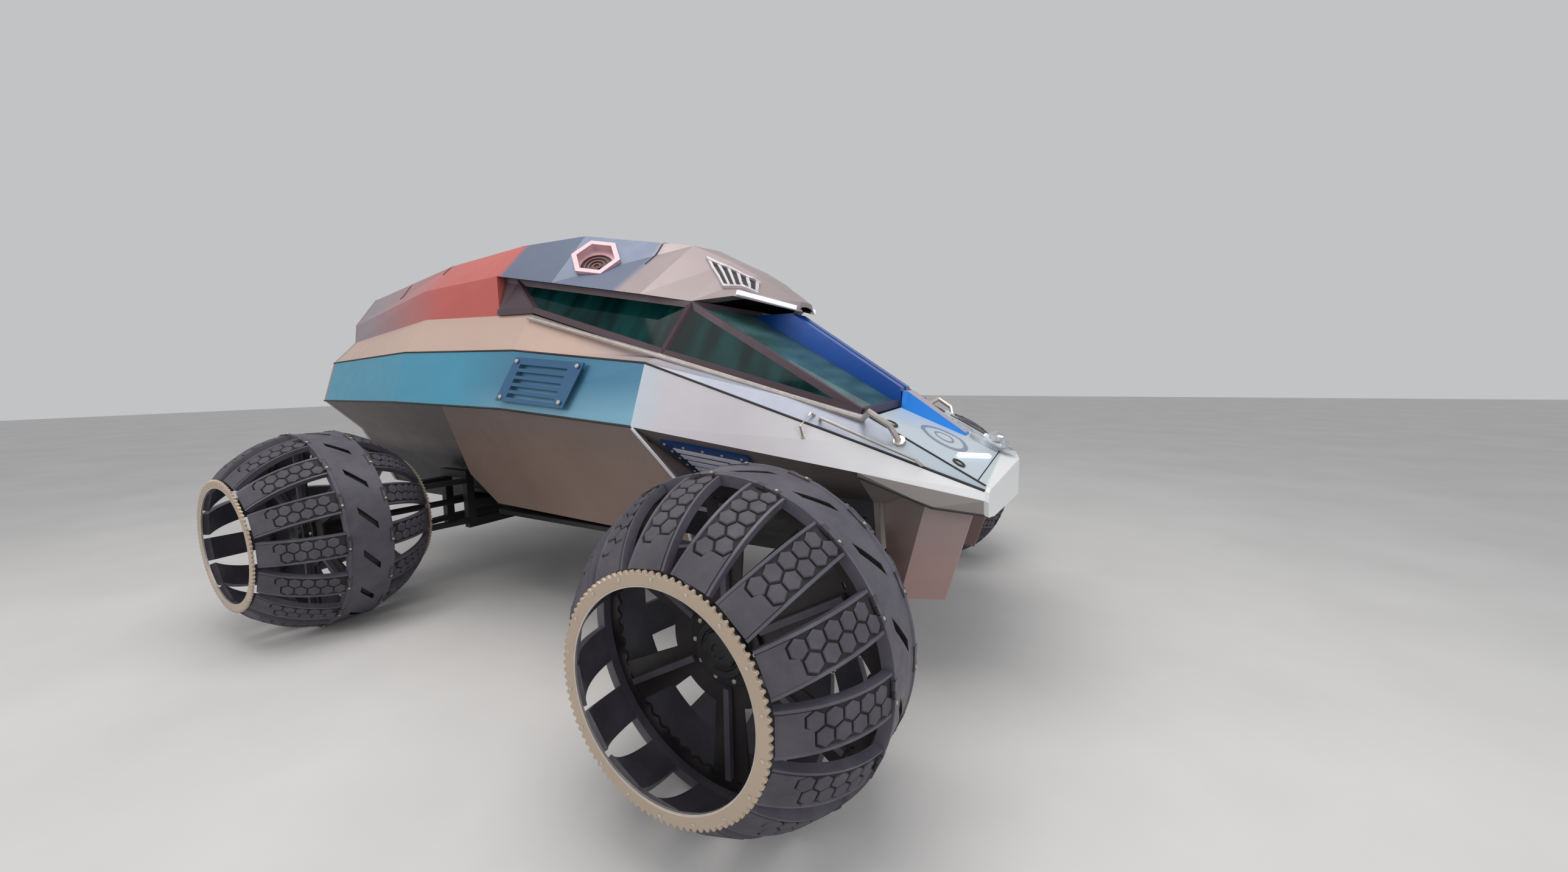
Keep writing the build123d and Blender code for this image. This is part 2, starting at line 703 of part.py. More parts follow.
def hexagon(radius, under, over):
    with BuildPart() as body:
        with BuildSketch(inlet_plane.offset(under)):
            RegularPolygon(radius, 6, rotation=30)
        extrude(amount=over - under)
    return body.part


inlet = cut_from(hexagon(INLET_R, -45, 24), hexagon(INLET_R - INLET_RIM, -30, 30))
inlet_hole = hexagon(INLET_R + SEAT_GAP, -90, 60)
finish(joined(inlet, mirrored(inlet)), "inlets")
roof = cut_from(roof_blank, spine, inlet_hole, mirrored(inlet_hole))
finish(roof, "roof")
finish(spine, "spine")


# Rear shell: the upper body behind the cabin
#              x             edge_y edge_z shoulder_y shoulder_z middle_z
REAR = [
    (INNER_TAIL_X, 740, 2150, 560, 2400, 2460),
    (REAR_AXLE_X, 850, 2330, 620, 2560, 2640),
    (ROOF_END_X, 890, header_z(ROOF_END_X), 660, 2600, 2680),
]


def rear_section(x):
    edge_y, edge_z, shoulder_y, shoulder_z, middle_z = next(row[1:] for row in REAR if row[0] == x)
    y0, z0 = on_line(RAIL_LINE, x)
    return whole(
        [
            (0, middle_z),
            (shoulder_y, shoulder_z),
            (edge_y, edge_z),
            (y0, z0),
            (y0 - SKIN, z0),
            (edge_y - SKIN, edge_z),
            (shoulder_y - DECK / 2, shoulder_z - DECK),
            (0, middle_z - DECK),
        ]
    )


rear_shell = loft_sections([row[0] for row in REAR], rear_section)

# Tail wall with the door opening
DOOR_Y = 380
DOOR_LOW = FLOOR_Z + 40
DOOR_TOP = 1900
tail_outline = [
    (0, FLOOR_LOW),
    (TUB_Y, FLOOR_LOW),
    on_line(WELL_LINE, TAIL_X),
    on_line(LOW_LINE, TAIL_X),
    on_line(TOP_LINE, TAIL_X),
    on_line(RAIL_LINE, TAIL_X),
    REAR[0][1:3],
    REAR[0][3:5],
    (0, REAR[0][5]),
]
tail_wall = loft_sections([TAIL_X, INNER_TAIL_X], lambda x: whole(tail_outline))
door_z = (DOOR_LOW + DOOR_TOP) / 2
opening = block(
    (TAIL_X + SKIN / 2, 0, door_z),
    (2 * SKIN, 2 * DOOR_Y + 2 * RUN_GAP, DOOR_TOP - DOOR_LOW + 2 * RUN_GAP),
)
PASS_Y, PASS_TOP = 600, 2400  # opening in the bulkhead behind the cabin
bulkhead_edge = REAR[-1]
bulkhead_outline = [(0, on_line(RAIL_LINE, ROOF_END_X)[1]), on_line(RAIL_LINE, ROOF_END_X)]
bulkhead_outline += [bulkhead_edge[1:3], bulkhead_edge[3:5], (0, bulkhead_edge[5])]
cabin_bulkhead = cut_from(
    loft_sections([ROOF_END_X - DECK, ROOF_END_X], lambda x: whole(bulkhead_outline)),
    block((ROOF_END_X, 0, PASS_TOP - 500), (4 * DECK, 2 * PASS_Y, 1000)),
    shoulder,
    mirrored(shoulder),
)

# The door's edge is round about its pivots, which turn in the wall above and below it
PIVOT_R = 8
PIVOT_DEEP = 20
DOOR_X = TAIL_X + SKIN / 2
PIVOT_Y = SKIN / 2 - DOOR_Y
pivot_reach = RUN_GAP + PIVOT_DEEP
pivot_hole = pin(
    (DOOR_X, PIVOT_Y, DOOR_LOW - pivot_reach - SEAT_GAP),
    (DOOR_X, PIVOT_Y, DOOR_TOP + pivot_reach + SEAT_GAP),
    PIVOT_R + SEAT_GAP,
)
rear_body = joined(rear_shell, cut_from(tail_wall, opening, pivot_hole), cabin_bulkhead)
finish(rear_body, "rear_body")
rear_door = joined(
    block((DOOR_X, (PIVOT_Y + DOOR_Y) / 2, door_z), (SKIN, DOOR_Y - PIVOT_Y, DOOR_TOP - DOOR_LOW)),
    rod((DOOR_X, PIVOT_Y, DOOR_LOW), (DOOR_X, PIVOT_Y, DOOR_TOP), SKIN / 2 * cos(pi / 12)),
    pin((DOOR_X, PIVOT_Y, DOOR_LOW - pivot_reach), (DOOR_X, PIVOT_Y, DOOR_TOP + pivot_reach), PIVOT_R),
)
finish(rear_door, "rear_door")

# Cabin frame: pillars, header, cowl and the quarter plates behind the side glass
QUARTER_END_X = ROOF_END_X + SEAT_GAP
QUARTER_TOP = (QUARTER_END_X, C_TOP[1] - 12, header_z(ROOF_END_X) - PILLAR / 2 - SEAT_GAP)
rear_rail_y, rear_rail_z = on_line(RAIL_LINE, ROOF_END_X)
QUARTER_FOOT = (QUARTER_END_X, 5 - rear_rail_y, rear_rail_z + FOOT_RISE)
quarter = joined(
    plate([C_FOOT, C_TOP, QUARTER_FOOT], 0, DECK),
    plate([C_TOP, QUARTER_TOP, QUARTER_FOOT], 0, DECK),
)
frame_side = joined(
    bar(SCREEN_FOOT, APEX, PILLAR, PILLAR),
    bar(B_FOOT, APEX, PILLAR, PILLAR),
    bar(C_FOOT, C_TOP, PILLAR, PILLAR),
    bar(APEX, C_TOP, PILLAR, PILLAR),
    bar(APEX, HEAD_MID, PILLAR, PILLAR),
    bar(SCREEN_FOOT, SCREEN_MID, PILLAR, PILLAR),
    bar(C_FOOT, B_FOOT, PILLAR, PILLAR),
    bar(B_FOOT, SCREEN_FOOT, PILLAR, PILLAR),
    bar(C_TOP, QUARTER_TOP, PILLAR, PILLAR),
    bar(C_FOOT, QUARTER_FOOT, PILLAR, PILLAR),
    quarter,
)
cabin_frame = cut_from(
    joined(frame_side, mirrored(frame_side)),
    spine,
    screen_pane,
    mirrored(screen_pane),
    side_glass,
    roof,
    shoulder,
    mirrored(shoulder),
    rear_body,
)
finish(cabin_frame, "cabin_frame")


# Fittings on the right side, each sunk into the panel that carries it and cut flush with it
def on_skin(upper, lower, x, down, lift):
    """A point down the panel below a body line, raised from the panel's face."""
    (y0, z0), (y1, z1) = on_line(upper, x), on_line(lower, x)
    width = hypot(y1 - y0, z1 - z0)
    across, fall = (y1 - y0) / width, (z0 - z1) / width
    return Vector(x, -y0 - across * down - fall * lift, z0 - fall * down + across * lift)


# Hand rails: a tube along the sill with an arched grip at its front end, and a thin rail on the shoulder
RAIL_R = 16
RAIL_DOWN = 38
GRIP = [(SCREEN_X - 20, 14), (SCREEN_X + 40, 110), (SCREEN_X + 135, 95), (SCREEN_X + 170, -10)]
THIN_RAIL = [
    (SCREEN_X - 220, 110, -10),
    (SCREEN_X - 195, 140, 45),
    (SCREEN_X + 270, 115, 45),
    (SCREEN_X + 300, 95, -10),
]


def on_sill(x, lift):
    return on_skin(RAIL_LINE, TOP_LINE, x, RAIL_DOWN, lift)


hand_rail = cut_from(
    joined(
        tube([on_sill(x, lift) for x, lift in [(SILL_X + 10, 14), (CREASE_X, 14)] + GRIP], RAIL_R),
        tube([on_sill(GRIP[-1][0], -10), on_sill(GRIP[-1][0], 12)], 2 * RAIL_R),
        tube([on_skin(RAIL_LINE, TOP_LINE, *row) for row in THIN_RAIL], RAIL_R / 2),
    ),
    shoulder,
    flank_front,
    cabin_frame,
)
finish(joined(hand_rail, mirrored(hand_rail)), "hand_rails")

# Grilles: a slotted panel on the liner behind each front wheel, and a raised slotted plate on each rear flank
GRILLE = [(CREASE_X + 130, 70), (CREASE_X + 610, 60), (CREASE_X + 570, 350), (CREASE_X + 200, 350)]
SLOT_W = 26
grille_slots = [
    [(x, down), (x + length, down), (x + length - 6, down + SLOT_W), (x + 6, down + SLOT_W)]
    for x, length, down in (
        (CREASE_X + 190, 360, 115),
        (CREASE_X + 205, 338, 170),
        (CREASE_X + 220, 316, 225),
        (CREASE_X + 235, 294, 280),
    )
]
SLOT_PLATE = [(SILL_X + 90, 50), (SILL_X + 690, 42), (SILL_X + 600, 330), (SILL_X, 345)]
plate_slots = [
    [(x, down), (x + 420, down - 5), (x + 410, down + SLOT_W - 5), (x - 10, down + SLOT_W)]
    for x, down in (
        (SILL_X + 150, 95),
        (SILL_X + 138, 143),
        (SILL_X + 126, 191),
        (SILL_X + 114, 239),
        (SILL_X + 102, 287),
    )
]
STANDOFFS = [(SILL_X + 120, 78), (SILL_X + 650, 70), (SILL_X + 570, 300), (SILL_X + 45, 318)]
PLATE_LIFT = 24


def slotted(outline, slots, on_panel, under, over):
    """A flat panel with slots through it."""
    return cut_from(
        panel([on_panel(x, down) for x, down in outline], under, over),
        *[panel([on_panel(x, down) for x, down in slot], under - SKIN, over + SKIN) for slot in slots],
    )


def on_liner(x, down):
    return on_skin(LOW_LINE, WELL_LINE, x, down, 0)


def on_flank(x, down):
    return on_skin(TOP_LINE, LOW_LINE, x, down, 0)


def standoff(x, down):
    return tube([on_skin(TOP_LINE, LOW_LINE, x, down, lift) for lift in (-12, PLATE_LIFT + 16)], 12)


grille = cut_from(slotted(GRILLE, grille_slots, on_liner, -14, 14), front_well)
slot_plate = cut_from(
    joined(
        slotted(SLOT_PLATE, plate_slots, on_flank, PLATE_LIFT, PLATE_LIFT + 8),
        *[standoff(*row) for row in STANDOFFS],
    ),
    flank_rear,
)
finish(joined(grille, mirrored(grille), slot_plate, mirrored(slot_plate)), "grilles")

# Light bars along the front edges of the roof
light_bar = cut_from(
    bar((FRONT_AXLE_X - 745, -478, 2158), (ROOF_TIP_X - 12, -140, 2084), 26, 26),
    roof,
    cabin_frame,
    spine,
    windscreen,
)
finish(joined(light_bar, mirrored(light_bar)), "light_bars")

# Seats on the floor, and a dash carried by brackets on the wheel wells, with a steering yoke
SEAT_BACK_X = CREASE_X - 480
SEAT_Y = 300
SEAT_HALF = 190
SEAT_PROFILE = [
    (160, FLOOR_Z),
    (700, FLOOR_Z),
    (700, 760),
    (640, 980),
    (750, 1000),
    (750, 1110),
    (280, 1090),
    (120, 1490),
    (0, 1490),
    (80, 1050),
    (180, 980),
]
seat = side_cut([(SEAT_BACK_X + x, z) for x, z in SEAT_PROFILE], -SEAT_Y - SEAT_HALF, -SEAT_Y + SEAT_HALF)
finish(joined(seat, mirrored(seat)), "seats")

DASH_X = SCREEN_X - 490
DASH_PROFILE = [(0, 1290), (10, 1150), (440, 1130), (440, 1350), (140, 1400)]
bracket = cut_from(block((DASH_X + 260, -735, 1165), (120, 180, 40)), front_well)
yoke = [(-195, -430, 1430), (-180, -440, 1320), (-180, -160, 1320), (-195, -170, 1430)]
dash = joined(
    side_cut([(DASH_X + x, z) for x, z in DASH_PROFILE], -690, 690),
    bracket,
    mirrored(bracket),
    tube([(DASH_X + 40, -SEAT_Y, 1260), (DASH_X - 185, -SEAT_Y, 1325)], 20),
    tube([(DASH_X + x, y, z) for x, y, z in yoke], 12),
)
finish(dash, "dash")

# Chassis: two rails, cross members and a tower at each corner
RAIL_Y = 420
RAIL_W = 80
RAIL_H = 110
RAIL_TOP = FLOOR_LOW - SEAT_GAP
RAIL_Z = RAIL_TOP - RAIL_H / 2
TOWER_Y = 720
TOWER_X = 150  # uprights ahead of and behind each axle
TOWER_W = 60
TOWER_LOW = 430
TOWER_TOP = 900
FRAME_FRONT_X = SCREEN_X + DECK
FRAME_REAR_X = TAIL_X + 150
tower_z = (TOWER_LOW + TOWER_TOP) / 2
rail_mid_x = (FRAME_FRONT_X + FRAME_REAR_X) / 2
members = [
    block((rail_mid_x, side * RAIL_Y, RAIL_Z), (FRAME_FRONT_X - FRAME_REAR_X, RAIL_W, RAIL_H)) for side in (-1, 1)
]
for x in (FRAME_FRONT_X - RAIL_W / 2, CREASE_X, SILL_X, FRAME_REAR_X + RAIL_W / 2):
    members.append(block((x, 0, RAIL_Z), (RAIL_W, 2 * RAIL_Y, RAIL_H)))
for axle_x in (FRONT_AXLE_X, REAR_AXLE_X):
    for x in (axle_x - TOWER_X, axle_x + TOWER_X):
        members.append(block((x, 0, TOWER_LOW + 35), (TOWER_W, 2 * TOWER_Y + TOWER_W, 70)))
        members.append(block((x, 0, RAIL_Z - 20), (TOWER_W, 2 * RAIL_Y, RAIL_H)))
        for side in (-1, 1):
            members.append(block((x, side * TOWER_Y, tower_z), (TOWER_W, TOWER_W, TOWER_TOP - TOWER_LOW)))
            members.append(bar((x, side * RAIL_Y, RAIL_Z), (x, side * TOWER_Y, RAIL_Z), TOWER_W, 60))
    for side in (-1, 1):
        members.append(block((axle_x, side * TOWER_Y, TOWER_TOP - 30), (2 * TOWER_X, TOWER_W, 60)))
chassis = cut_from(joined(*members), front_well, mirrored(front_well), rear_well, mirrored(rear_well))
finish(chassis, "chassis_frame")

# Battery pack between the rails
PACK_X = (CREASE_X + SILL_X) / 2
PACK_H = 180
pack_gap = RAIL_W + 2 * SEAT_GAP
pack = block((PACK_X, 0, RAIL_TOP - PACK_H / 2), (CREASE_X - SILL_X - pack_gap, 2 * RAIL_Y - pack_gap, PACK_H))
finish(pack, "battery_pack")

# Wheel sizes
SLATS = 15
BAND_HALF = 125
BAND_T = 46
RIM_Z = 480  # rim plate from the wheel's centre plane
RIM_T = 12
RIM_R = 411
RIM_HOLE_R = 362
ARC_R = 550
PAD_T = 20
SLAT_T = 16
SLAT_W = 145
PAD_SHARE = 0.66  # share of a slat's arc, from the band, that its tread pad covers
BULGE = 8  # how far the corner in a slat stands outside the arc, so that its flats lie about it
HUB_Z = 80  # hub plate from the centre plane
HUB_T = 14
HUB_R = 110
HUB_END = 160
FACE_Z = -10  # hub's inner face, against the carrier
FACETS = 30


def ring(z0, z1, outer, inner=0, sides=FACETS):
    """A many-sided hoop or disc about the axle, flats touching both radii."""
    with BuildPart() as hoop:
        with BuildSketch(Plane.XY.offset(z0)):
            RegularPolygon(outer, sides, major_radius=False)
            if inner > 0:
                RegularPolygon(inner, sides, major_radius=False, mode=Mode.SUBTRACT)
        extrude(amount=z1 - z0)
    return hoop.part


# The slats bulge on an arc from the rim to the band
band_point = (WHEEL_R - 6, BAND_HALF - 10)
rim_point = (RIM_R - 4, RIM_Z - 8)
chord = hypot(band_point[0] - rim_point[0], band_point[1] - rim_point[1])
mid = ((band_point[0] + rim_point[0]) / 2, (band_point[1] + rim_point[1]) / 2)
sink = (ARC_R**2 - (chord / 2) ** 2) ** 0.5
arc_centre = (
    mid[0] - sink * (rim_point[1] - band_point[1]) / chord,
    mid[1] - sink * (band_point[0] - rim_point[0]) / chord,
)
start_angle = asin((band_point[1] - arc_centre[1]) / ARC_R)
end_angle = asin((rim_point[1] - arc_centre[1]) / ARC_R)


def arc_point(radius, share):
    """A point of a slat's arc in (radius, height), by its share of the way from the band to the rim."""
    angle = start_angle + (end_angle - start_angle) * share
    return (arc_centre[0] + radius * cos(angle), arc_centre[1] + radius * sin(angle))


def at_height(a, b, z):
    """Where the line through two points in (radius, height) reaches a height."""
    return (a[0] + (b[0] - a[0]) * (z - a[1]) / (b[1] - a[1]), z)


def slat_line(radius, start_z):
    """A slat face in (radius, height): from a height by its corner, outside the arc, up to the rim plate."""
    start, end = arc_point(radius, 0), arc_point(radius, 1)
    corner = arc_point(radius + BULGE, PAD_SHARE)
    return [at_height(start, corner, start_z), corner, at_height(corner, end, RIM_Z)]


def strip(upper, lower):
    """A bent strip between two lines, across the width of a slat."""
    with BuildPart() as piece:
        with BuildSketch(Plane.XZ):
            with BuildLine():
                Polyline(upper + lower[::-1], close=True)
            make_face()
        extrude(amount=SLAT_W / 2, both=True)
    return piece.part


slat_top = ARC_R - PAD_T
slat = strip(slat_line(slat_top, BAND_HALF - 10), slat_line(slat_top - SLAT_T, BAND_HALF - 10))
pad = strip(slat_line(ARC_R, BAND_HALF + 1)[:2], slat_line(slat_top, BAND_HALF + 1)[:2])


def around(piece):
    """A slat or pad repeated round the wheel, on both sides of the band."""
    with BuildPart() as half:
        with PolarLocations(0, SLATS):
            add(piece)
    with BuildPart() as wheel_pieces:
        add(half.part)
        mirror(half.part, about=Plane.XY)
    return wheel_pieces.part


band_inner = WHEEL_R - BAND_T
cage = joined(
    ring(-BAND_HALF, BAND_HALF, WHEEL_R, band_inner),
    around(slat),
)
pads = around(pad)

HUB_SIDES = 18
hub = joined(
    pin((0, 0, FACE_Z), (0, 0, HUB_Z - SEAT_GAP), HUB_R),
    ring(HUB_Z - SEAT_GAP, HUB_Z + HUB_T + SEAT_GAP, HUB_R / 2, sides=HUB_SIDES),
    ring(HUB_Z + HUB_T + SEAT_GAP, HUB_Z + HUB_T + 20, HUB_R + 45, sides=HUB_SIDES),
    ring(HUB_Z + HUB_T + 20, HUB_END, HUB_R, sides=HUB_SIDES),
)

WINDOWS = 6
WINDOW = [(250, -60), (540, -190), (575, 0), (540, 190), (250, 60)]
with BuildPart() as hub_plate:
    add(ring(HUB_Z, HUB_Z + HUB_T, band_inner))
    with PolarLocations(0, WINDOWS):
        add(slab(WINDOW, HUB_Z, HUB_Z + HUB_T), mode=Mode.SUBTRACT)
    add(ring(HUB_Z, HUB_Z + HUB_T, HUB_R / 2 + SEAT_GAP, sides=HUB_SIDES), mode=Mode.SUBTRACT)

rims = joined(
    ring(RIM_Z, RIM_Z + RIM_T, RIM_R, RIM_HOLE_R),
    ring(-RIM_Z - RIM_T, -RIM_Z, RIM_R, RIM_HOLE_R),
    hub_plate.part,
)


def at_corner(piece, axle_x, side):
    """A wheel piece, modelled about +Z with its outer side up, set at a corner of the car."""
    place = Plane(origin=(axle_x, side * WHEEL_Y, WHEEL_R), x_dir=(1, 0, 0), z_dir=(0, side, 0))
    with BuildPart() as placed:
        with Locations(place.location):
            add(piece)
    return placed.part


# Carriers and suspension, modelled for the right side about the axle line
KINGPIN_Y = 1565  # steering axis from the middle of the body
CARRIER_HALF = 150
ARM_T = 34
KINGPIN_R = 22
HINGE_Y = TOWER_Y + TOWER_W / 2
hub_face_y = WHEEL_Y + FACE_Z


def kingpin(axle_x, radius):
    reach = CARRIER_HALF + SEAT_GAP + ARM_T
    return pin((axle_x, -KINGPIN_Y, WHEEL_R - reach), (axle_x, -KINGPIN_Y, WHEEL_R + reach), radius)


def carrier(axle_x):
    with BuildPart() as upright:
        add(block((axle_x, -KINGPIN_Y, WHEEL_R), (110, 60, 2 * CARRIER_HALF)))
        add(rod((axle_x, -KINGPIN_Y, WHEEL_R), (axle_x, SEAT_GAP - hub_face_y, WHEEL_R), 90))
        add(kingpin(axle_x, KINGPIN_R))
    return upright.part


def arm(axle_x, z):
    """A flat wishbone from the tower to the kingpin axis."""
    y_in = -HINGE_Y - SEAT_GAP
    reach = KINGPIN_Y + y_in
    half_arm = [(42, -40), (TOWER_X + 20, reach), (TOWER_X - 50, reach), (0, 160)]
    with BuildPart() as wishbone:
        with BuildSketch(Plane(origin=(axle_x, -KINGPIN_Y, z), x_dir=(1, 0, 0), z_dir=(0, 0, 1))):
            with BuildLine():
                Polyline(half_arm + [(-x, y) for x, y in reversed(half_arm[:-1])], close=True)
            make_face()
        extrude(amount=ARM_T)
        add(kingpin(axle_x, KINGPIN_R + SEAT_GAP), mode=Mode.SUBTRACT)
    return wishbone.part


def corner_arms(axle_x):
    lower_z = WHEEL_R - CARRIER_HALF - SEAT_GAP - ARM_T
    upper_z = WHEEL_R + CARRIER_HALF + SEAT_GAP
    shaft_y = RAIL_Y + RAIL_W / 2 + 2 * SEAT_GAP
    half_shaft = rod((axle_x, -shaft_y, RAIL_Z + 20), (axle_x, 60 - KINGPIN_Y, WHEEL_R), 24)
    return joined(
        arm(axle_x, lower_z),
        arm(axle_x, upper_z),
        half_shaft,
    )


CORNERS = [
    ("front_right", FRONT_AXLE_X, -1),
    ("front_left", FRONT_AXLE_X, 1),
    ("rear_right", REAR_AXLE_X, -1),
    ("rear_left", REAR_AXLE_X, 1),
]
caged_hub = joined(cage, hub)
for corner, axle_x, side in CORNERS:
    for piece, name in ((caged_hub, "wheel_cage"), (pads, "tread_pads"), (rims, "wheel_plates")):
        finish(at_corner(piece, axle_x, side), f"{name}_{corner}")
    arms = corner_arms(axle_x)
    if axle_x == FRONT_AXLE_X:
        finish(on_side(carrier(axle_x), side), f"hub_carrier_{corner}")
    else:
        arms = joined(arms, carrier(axle_x))
    finish(on_side(arms, side), f"suspension_{corner}")
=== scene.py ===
import json
import math

import bmesh
import bpy
from mathutils import Matrix, Vector
from mathutils.bvhtree import BVHTree


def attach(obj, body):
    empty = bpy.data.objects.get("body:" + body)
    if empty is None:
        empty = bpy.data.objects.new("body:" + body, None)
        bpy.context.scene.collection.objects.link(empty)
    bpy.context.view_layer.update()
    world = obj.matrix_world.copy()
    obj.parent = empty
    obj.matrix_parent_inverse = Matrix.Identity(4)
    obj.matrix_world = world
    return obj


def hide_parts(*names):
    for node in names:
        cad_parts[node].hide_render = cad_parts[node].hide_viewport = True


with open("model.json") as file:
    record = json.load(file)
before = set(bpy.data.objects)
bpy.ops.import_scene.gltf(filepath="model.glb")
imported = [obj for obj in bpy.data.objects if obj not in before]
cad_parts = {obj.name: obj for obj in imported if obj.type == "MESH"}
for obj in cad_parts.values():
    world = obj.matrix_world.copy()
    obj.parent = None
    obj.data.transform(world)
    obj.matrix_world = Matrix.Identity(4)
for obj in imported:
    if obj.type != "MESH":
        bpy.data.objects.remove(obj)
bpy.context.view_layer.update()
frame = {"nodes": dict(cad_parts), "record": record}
NODES = frame["nodes"]
scene = bpy.context.scene

# Places shared with the CAD, in metres
FRONT_AXLE_X, REAR_AXLE_X = 1.95, -1.45
WHEEL_Y, WHEEL_R = 1.65, 0.65
RIGHT, LEFT = -1, 1
CORNERS = [
    ("front_right", FRONT_AXLE_X, RIGHT),
    ("front_left", FRONT_AXLE_X, LEFT),
    ("rear_right", REAR_AXLE_X, RIGHT),
    ("rear_left", REAR_AXLE_X, LEFT),
]


# Materials

# Most values of a noise lie between these
NOISE_LOW, NOISE_HIGH = 0.3, 0.7
WHITE = (1.0, 1.0, 1.0, 1.0)


def linear(red, green, blue):
    """A colour given as it looks on a screen, 0 to 255, in linear values."""
    out = []
    for v in (red / 255, green / 255, blue / 255):
        out.append(v / 12.92 if v <= 0.04045 else ((v + 0.055) / 1.055) ** 2.4)
    return (*out, 1.0)


def scaled(colour, share):
    return (*(c * share for c in colour[:3]), 1.0)


def new_material(name):
    mat = bpy.data.materials.new(name)
    mat.use_nodes = True
    tree = mat.node_tree
    return mat, tree, tree.nodes["Principled BSDF"]


def add_node(tree, kind, **values):
    """A new node. A value whose name starts with in_ goes to the input of that name."""
    node = tree.nodes.new(kind)
    for key, value in values.items():
        if key.startswith("in_"):
            node.inputs[key[3:].replace("_", " ")].default_value = value
        else:
            setattr(node, key, value)
    return node


def object_place(tree):
    return add_node(tree, "ShaderNodeTexCoord").outputs["Object"]


def noise(tree, scale, detail=4.0, rough=0.55, vector=None):
    node = add_node(tree, "ShaderNodeTexNoise", in_Scale=scale, in_Detail=detail, in_Roughness=rough)
    tree.links.new(vector or object_place(tree), node.inputs["Vector"])
    return node.outputs["Fac"]


def ramp(tree, fac, first, last, low=NOISE_LOW, high=NOISE_HIGH):
    """A colour that goes from first to last as fac goes from low to high."""
    node = add_node(tree, "ShaderNodeValToRGB")
    tree.links.new(fac, node.inputs["Fac"])
    for element, place, colour in zip(node.color_ramp.elements, (low, high), (first, last)):
        element.position = place
        element.color = colour
    return node.outputs["Color"]


def map_range(tree, value, low, high, to_low, to_high):
    node = add_node(tree, "ShaderNodeMapRange")
    tree.links.new(value, node.inputs["Value"])
    for key, number in zip(("From Min", "From Max", "To Min", "To Max"), (low, high, to_low, to_high)):
        node.inputs[key].default_value = number
    return node.outputs["Result"]


def mix(tree, fac, first, second, kind="MIX"):
    node = add_node(tree, "ShaderNodeMix", data_type="RGBA", blend_type=kind)
    if isinstance(fac, float):
        node.inputs["Factor"].default_value = fac
    else:
        tree.links.new(fac, node.inputs["Factor"])
    for key, value in (("A", first), ("B", second)):
        socket = next(s for s in node.inputs if s.name == key and s.type == "RGBA")
        if isinstance(value, tuple):
            socket.default_value = value
        else:
            tree.links.new(value, socket)
    return next(s for s in node.outputs if s.type == "RGBA")


def roughen(tree, bsdf, cloud, low, high):
    """Roughness that goes from low to high with a noise."""
    tree.links.new(map_range(tree, cloud, NOISE_LOW, NOISE_HIGH, low, high), bsdf.inputs["Roughness"])


def bump(tree, bsdf, height, strength, distance):
    node = add_node(tree, "ShaderNodeBump", in_Strength=strength, in_Distance=distance)
    tree.links.new(height, node.inputs["Height"])
    tree.links.new(node.outputs["Normal"], bsdf.inputs["Normal"])


def axis_value(tree, axis):
    """A coordinate of the object, in metres: X, Y, Z or |Y|."""
    split = add_node(tree, "ShaderNodeSeparateXYZ")
    tree.links.new(object_place(tree), split.inputs["Vector"])
    if axis == "|Y|":
        size = add_node(tree, "ShaderNodeMath", operation="ABSOLUTE")
        tree.links.new(split.outputs["Y"], size.inputs[0])
        return size.outputs["Value"]
    return split.outputs[axis]


def paint(name, colour, metallic, roughness, mottle, blends=()):
    """Satin sheet-metal paint. A blend is (axis, from, to, colour): the paint turns into colour on the way."""
    mat, tree, bsdf = new_material(name)
    value = colour
    for axis, start, end, other in blends:
        value = mix(tree, map_range(tree, axis_value(tree, axis), start, end, 0.0, 1.0), value, other)
    shade = ramp(tree, noise(tree, 1.3, 5.0, 0.6), scaled(WHITE, 1 - mottle), WHITE)
    tree.links.new(mix(tree, 1.0, value, shade, "MULTIPLY"), bsdf.inputs["Base Color"])
    bsdf.inputs["Metallic"].default_value = metallic
    bsdf.inputs["Coat Weight"].default_value = 0.15
    bsdf.inputs["Coat Roughness"].default_value = 0.25
    roughen(tree, bsdf, noise(tree, 9.0, 6.0, 0.65), roughness - 0.05, roughness + 0.08)
    bump(tree, bsdf, noise(tree, 260.0, 2.0, 0.5), 0.08, 0.0008)
    return mat


def rubber(name, colour, roughness):
    """Rubber or cloth, with pale dust on it."""
    mat, tree, bsdf = new_material(name)
    dusty = (*(min(1.0, 1.5 * c + 0.012) for c in colour[:3]), 1.0)
    value = ramp(tree, noise(tree, 6.0, 7.0, 0.65), colour, dusty, 0.35, 0.75)
    tree.links.new(value, bsdf.inputs["Base Color"])
    roughen(tree, bsdf, noise(tree, 25.0, 5.0, 0.6), roughness - 0.12, roughness + 0.06)
    bump(tree, bsdf, noise(tree, 180.0, 4.0, 0.6), 0.25, 0.0012)
    return mat


def metal(name, colour, roughness, metallic, scratch=0.12):
    mat, tree, bsdf = new_material(name)
    value = ramp(tree, noise(tree, 14.0, 6.0, 0.6), scaled(colour, 0.82), colour)
    tree.links.new(value, bsdf.inputs["Base Color"])
    bsdf.inputs["Metallic"].default_value = metallic
    roughen(tree, bsdf, noise(tree, 40.0, 5.0, 0.6), roughness - 0.06, roughness + 0.1)
    bump(tree, bsdf, noise(tree, 120.0, 3.0, 0.5), scratch, 0.0006)
    return mat


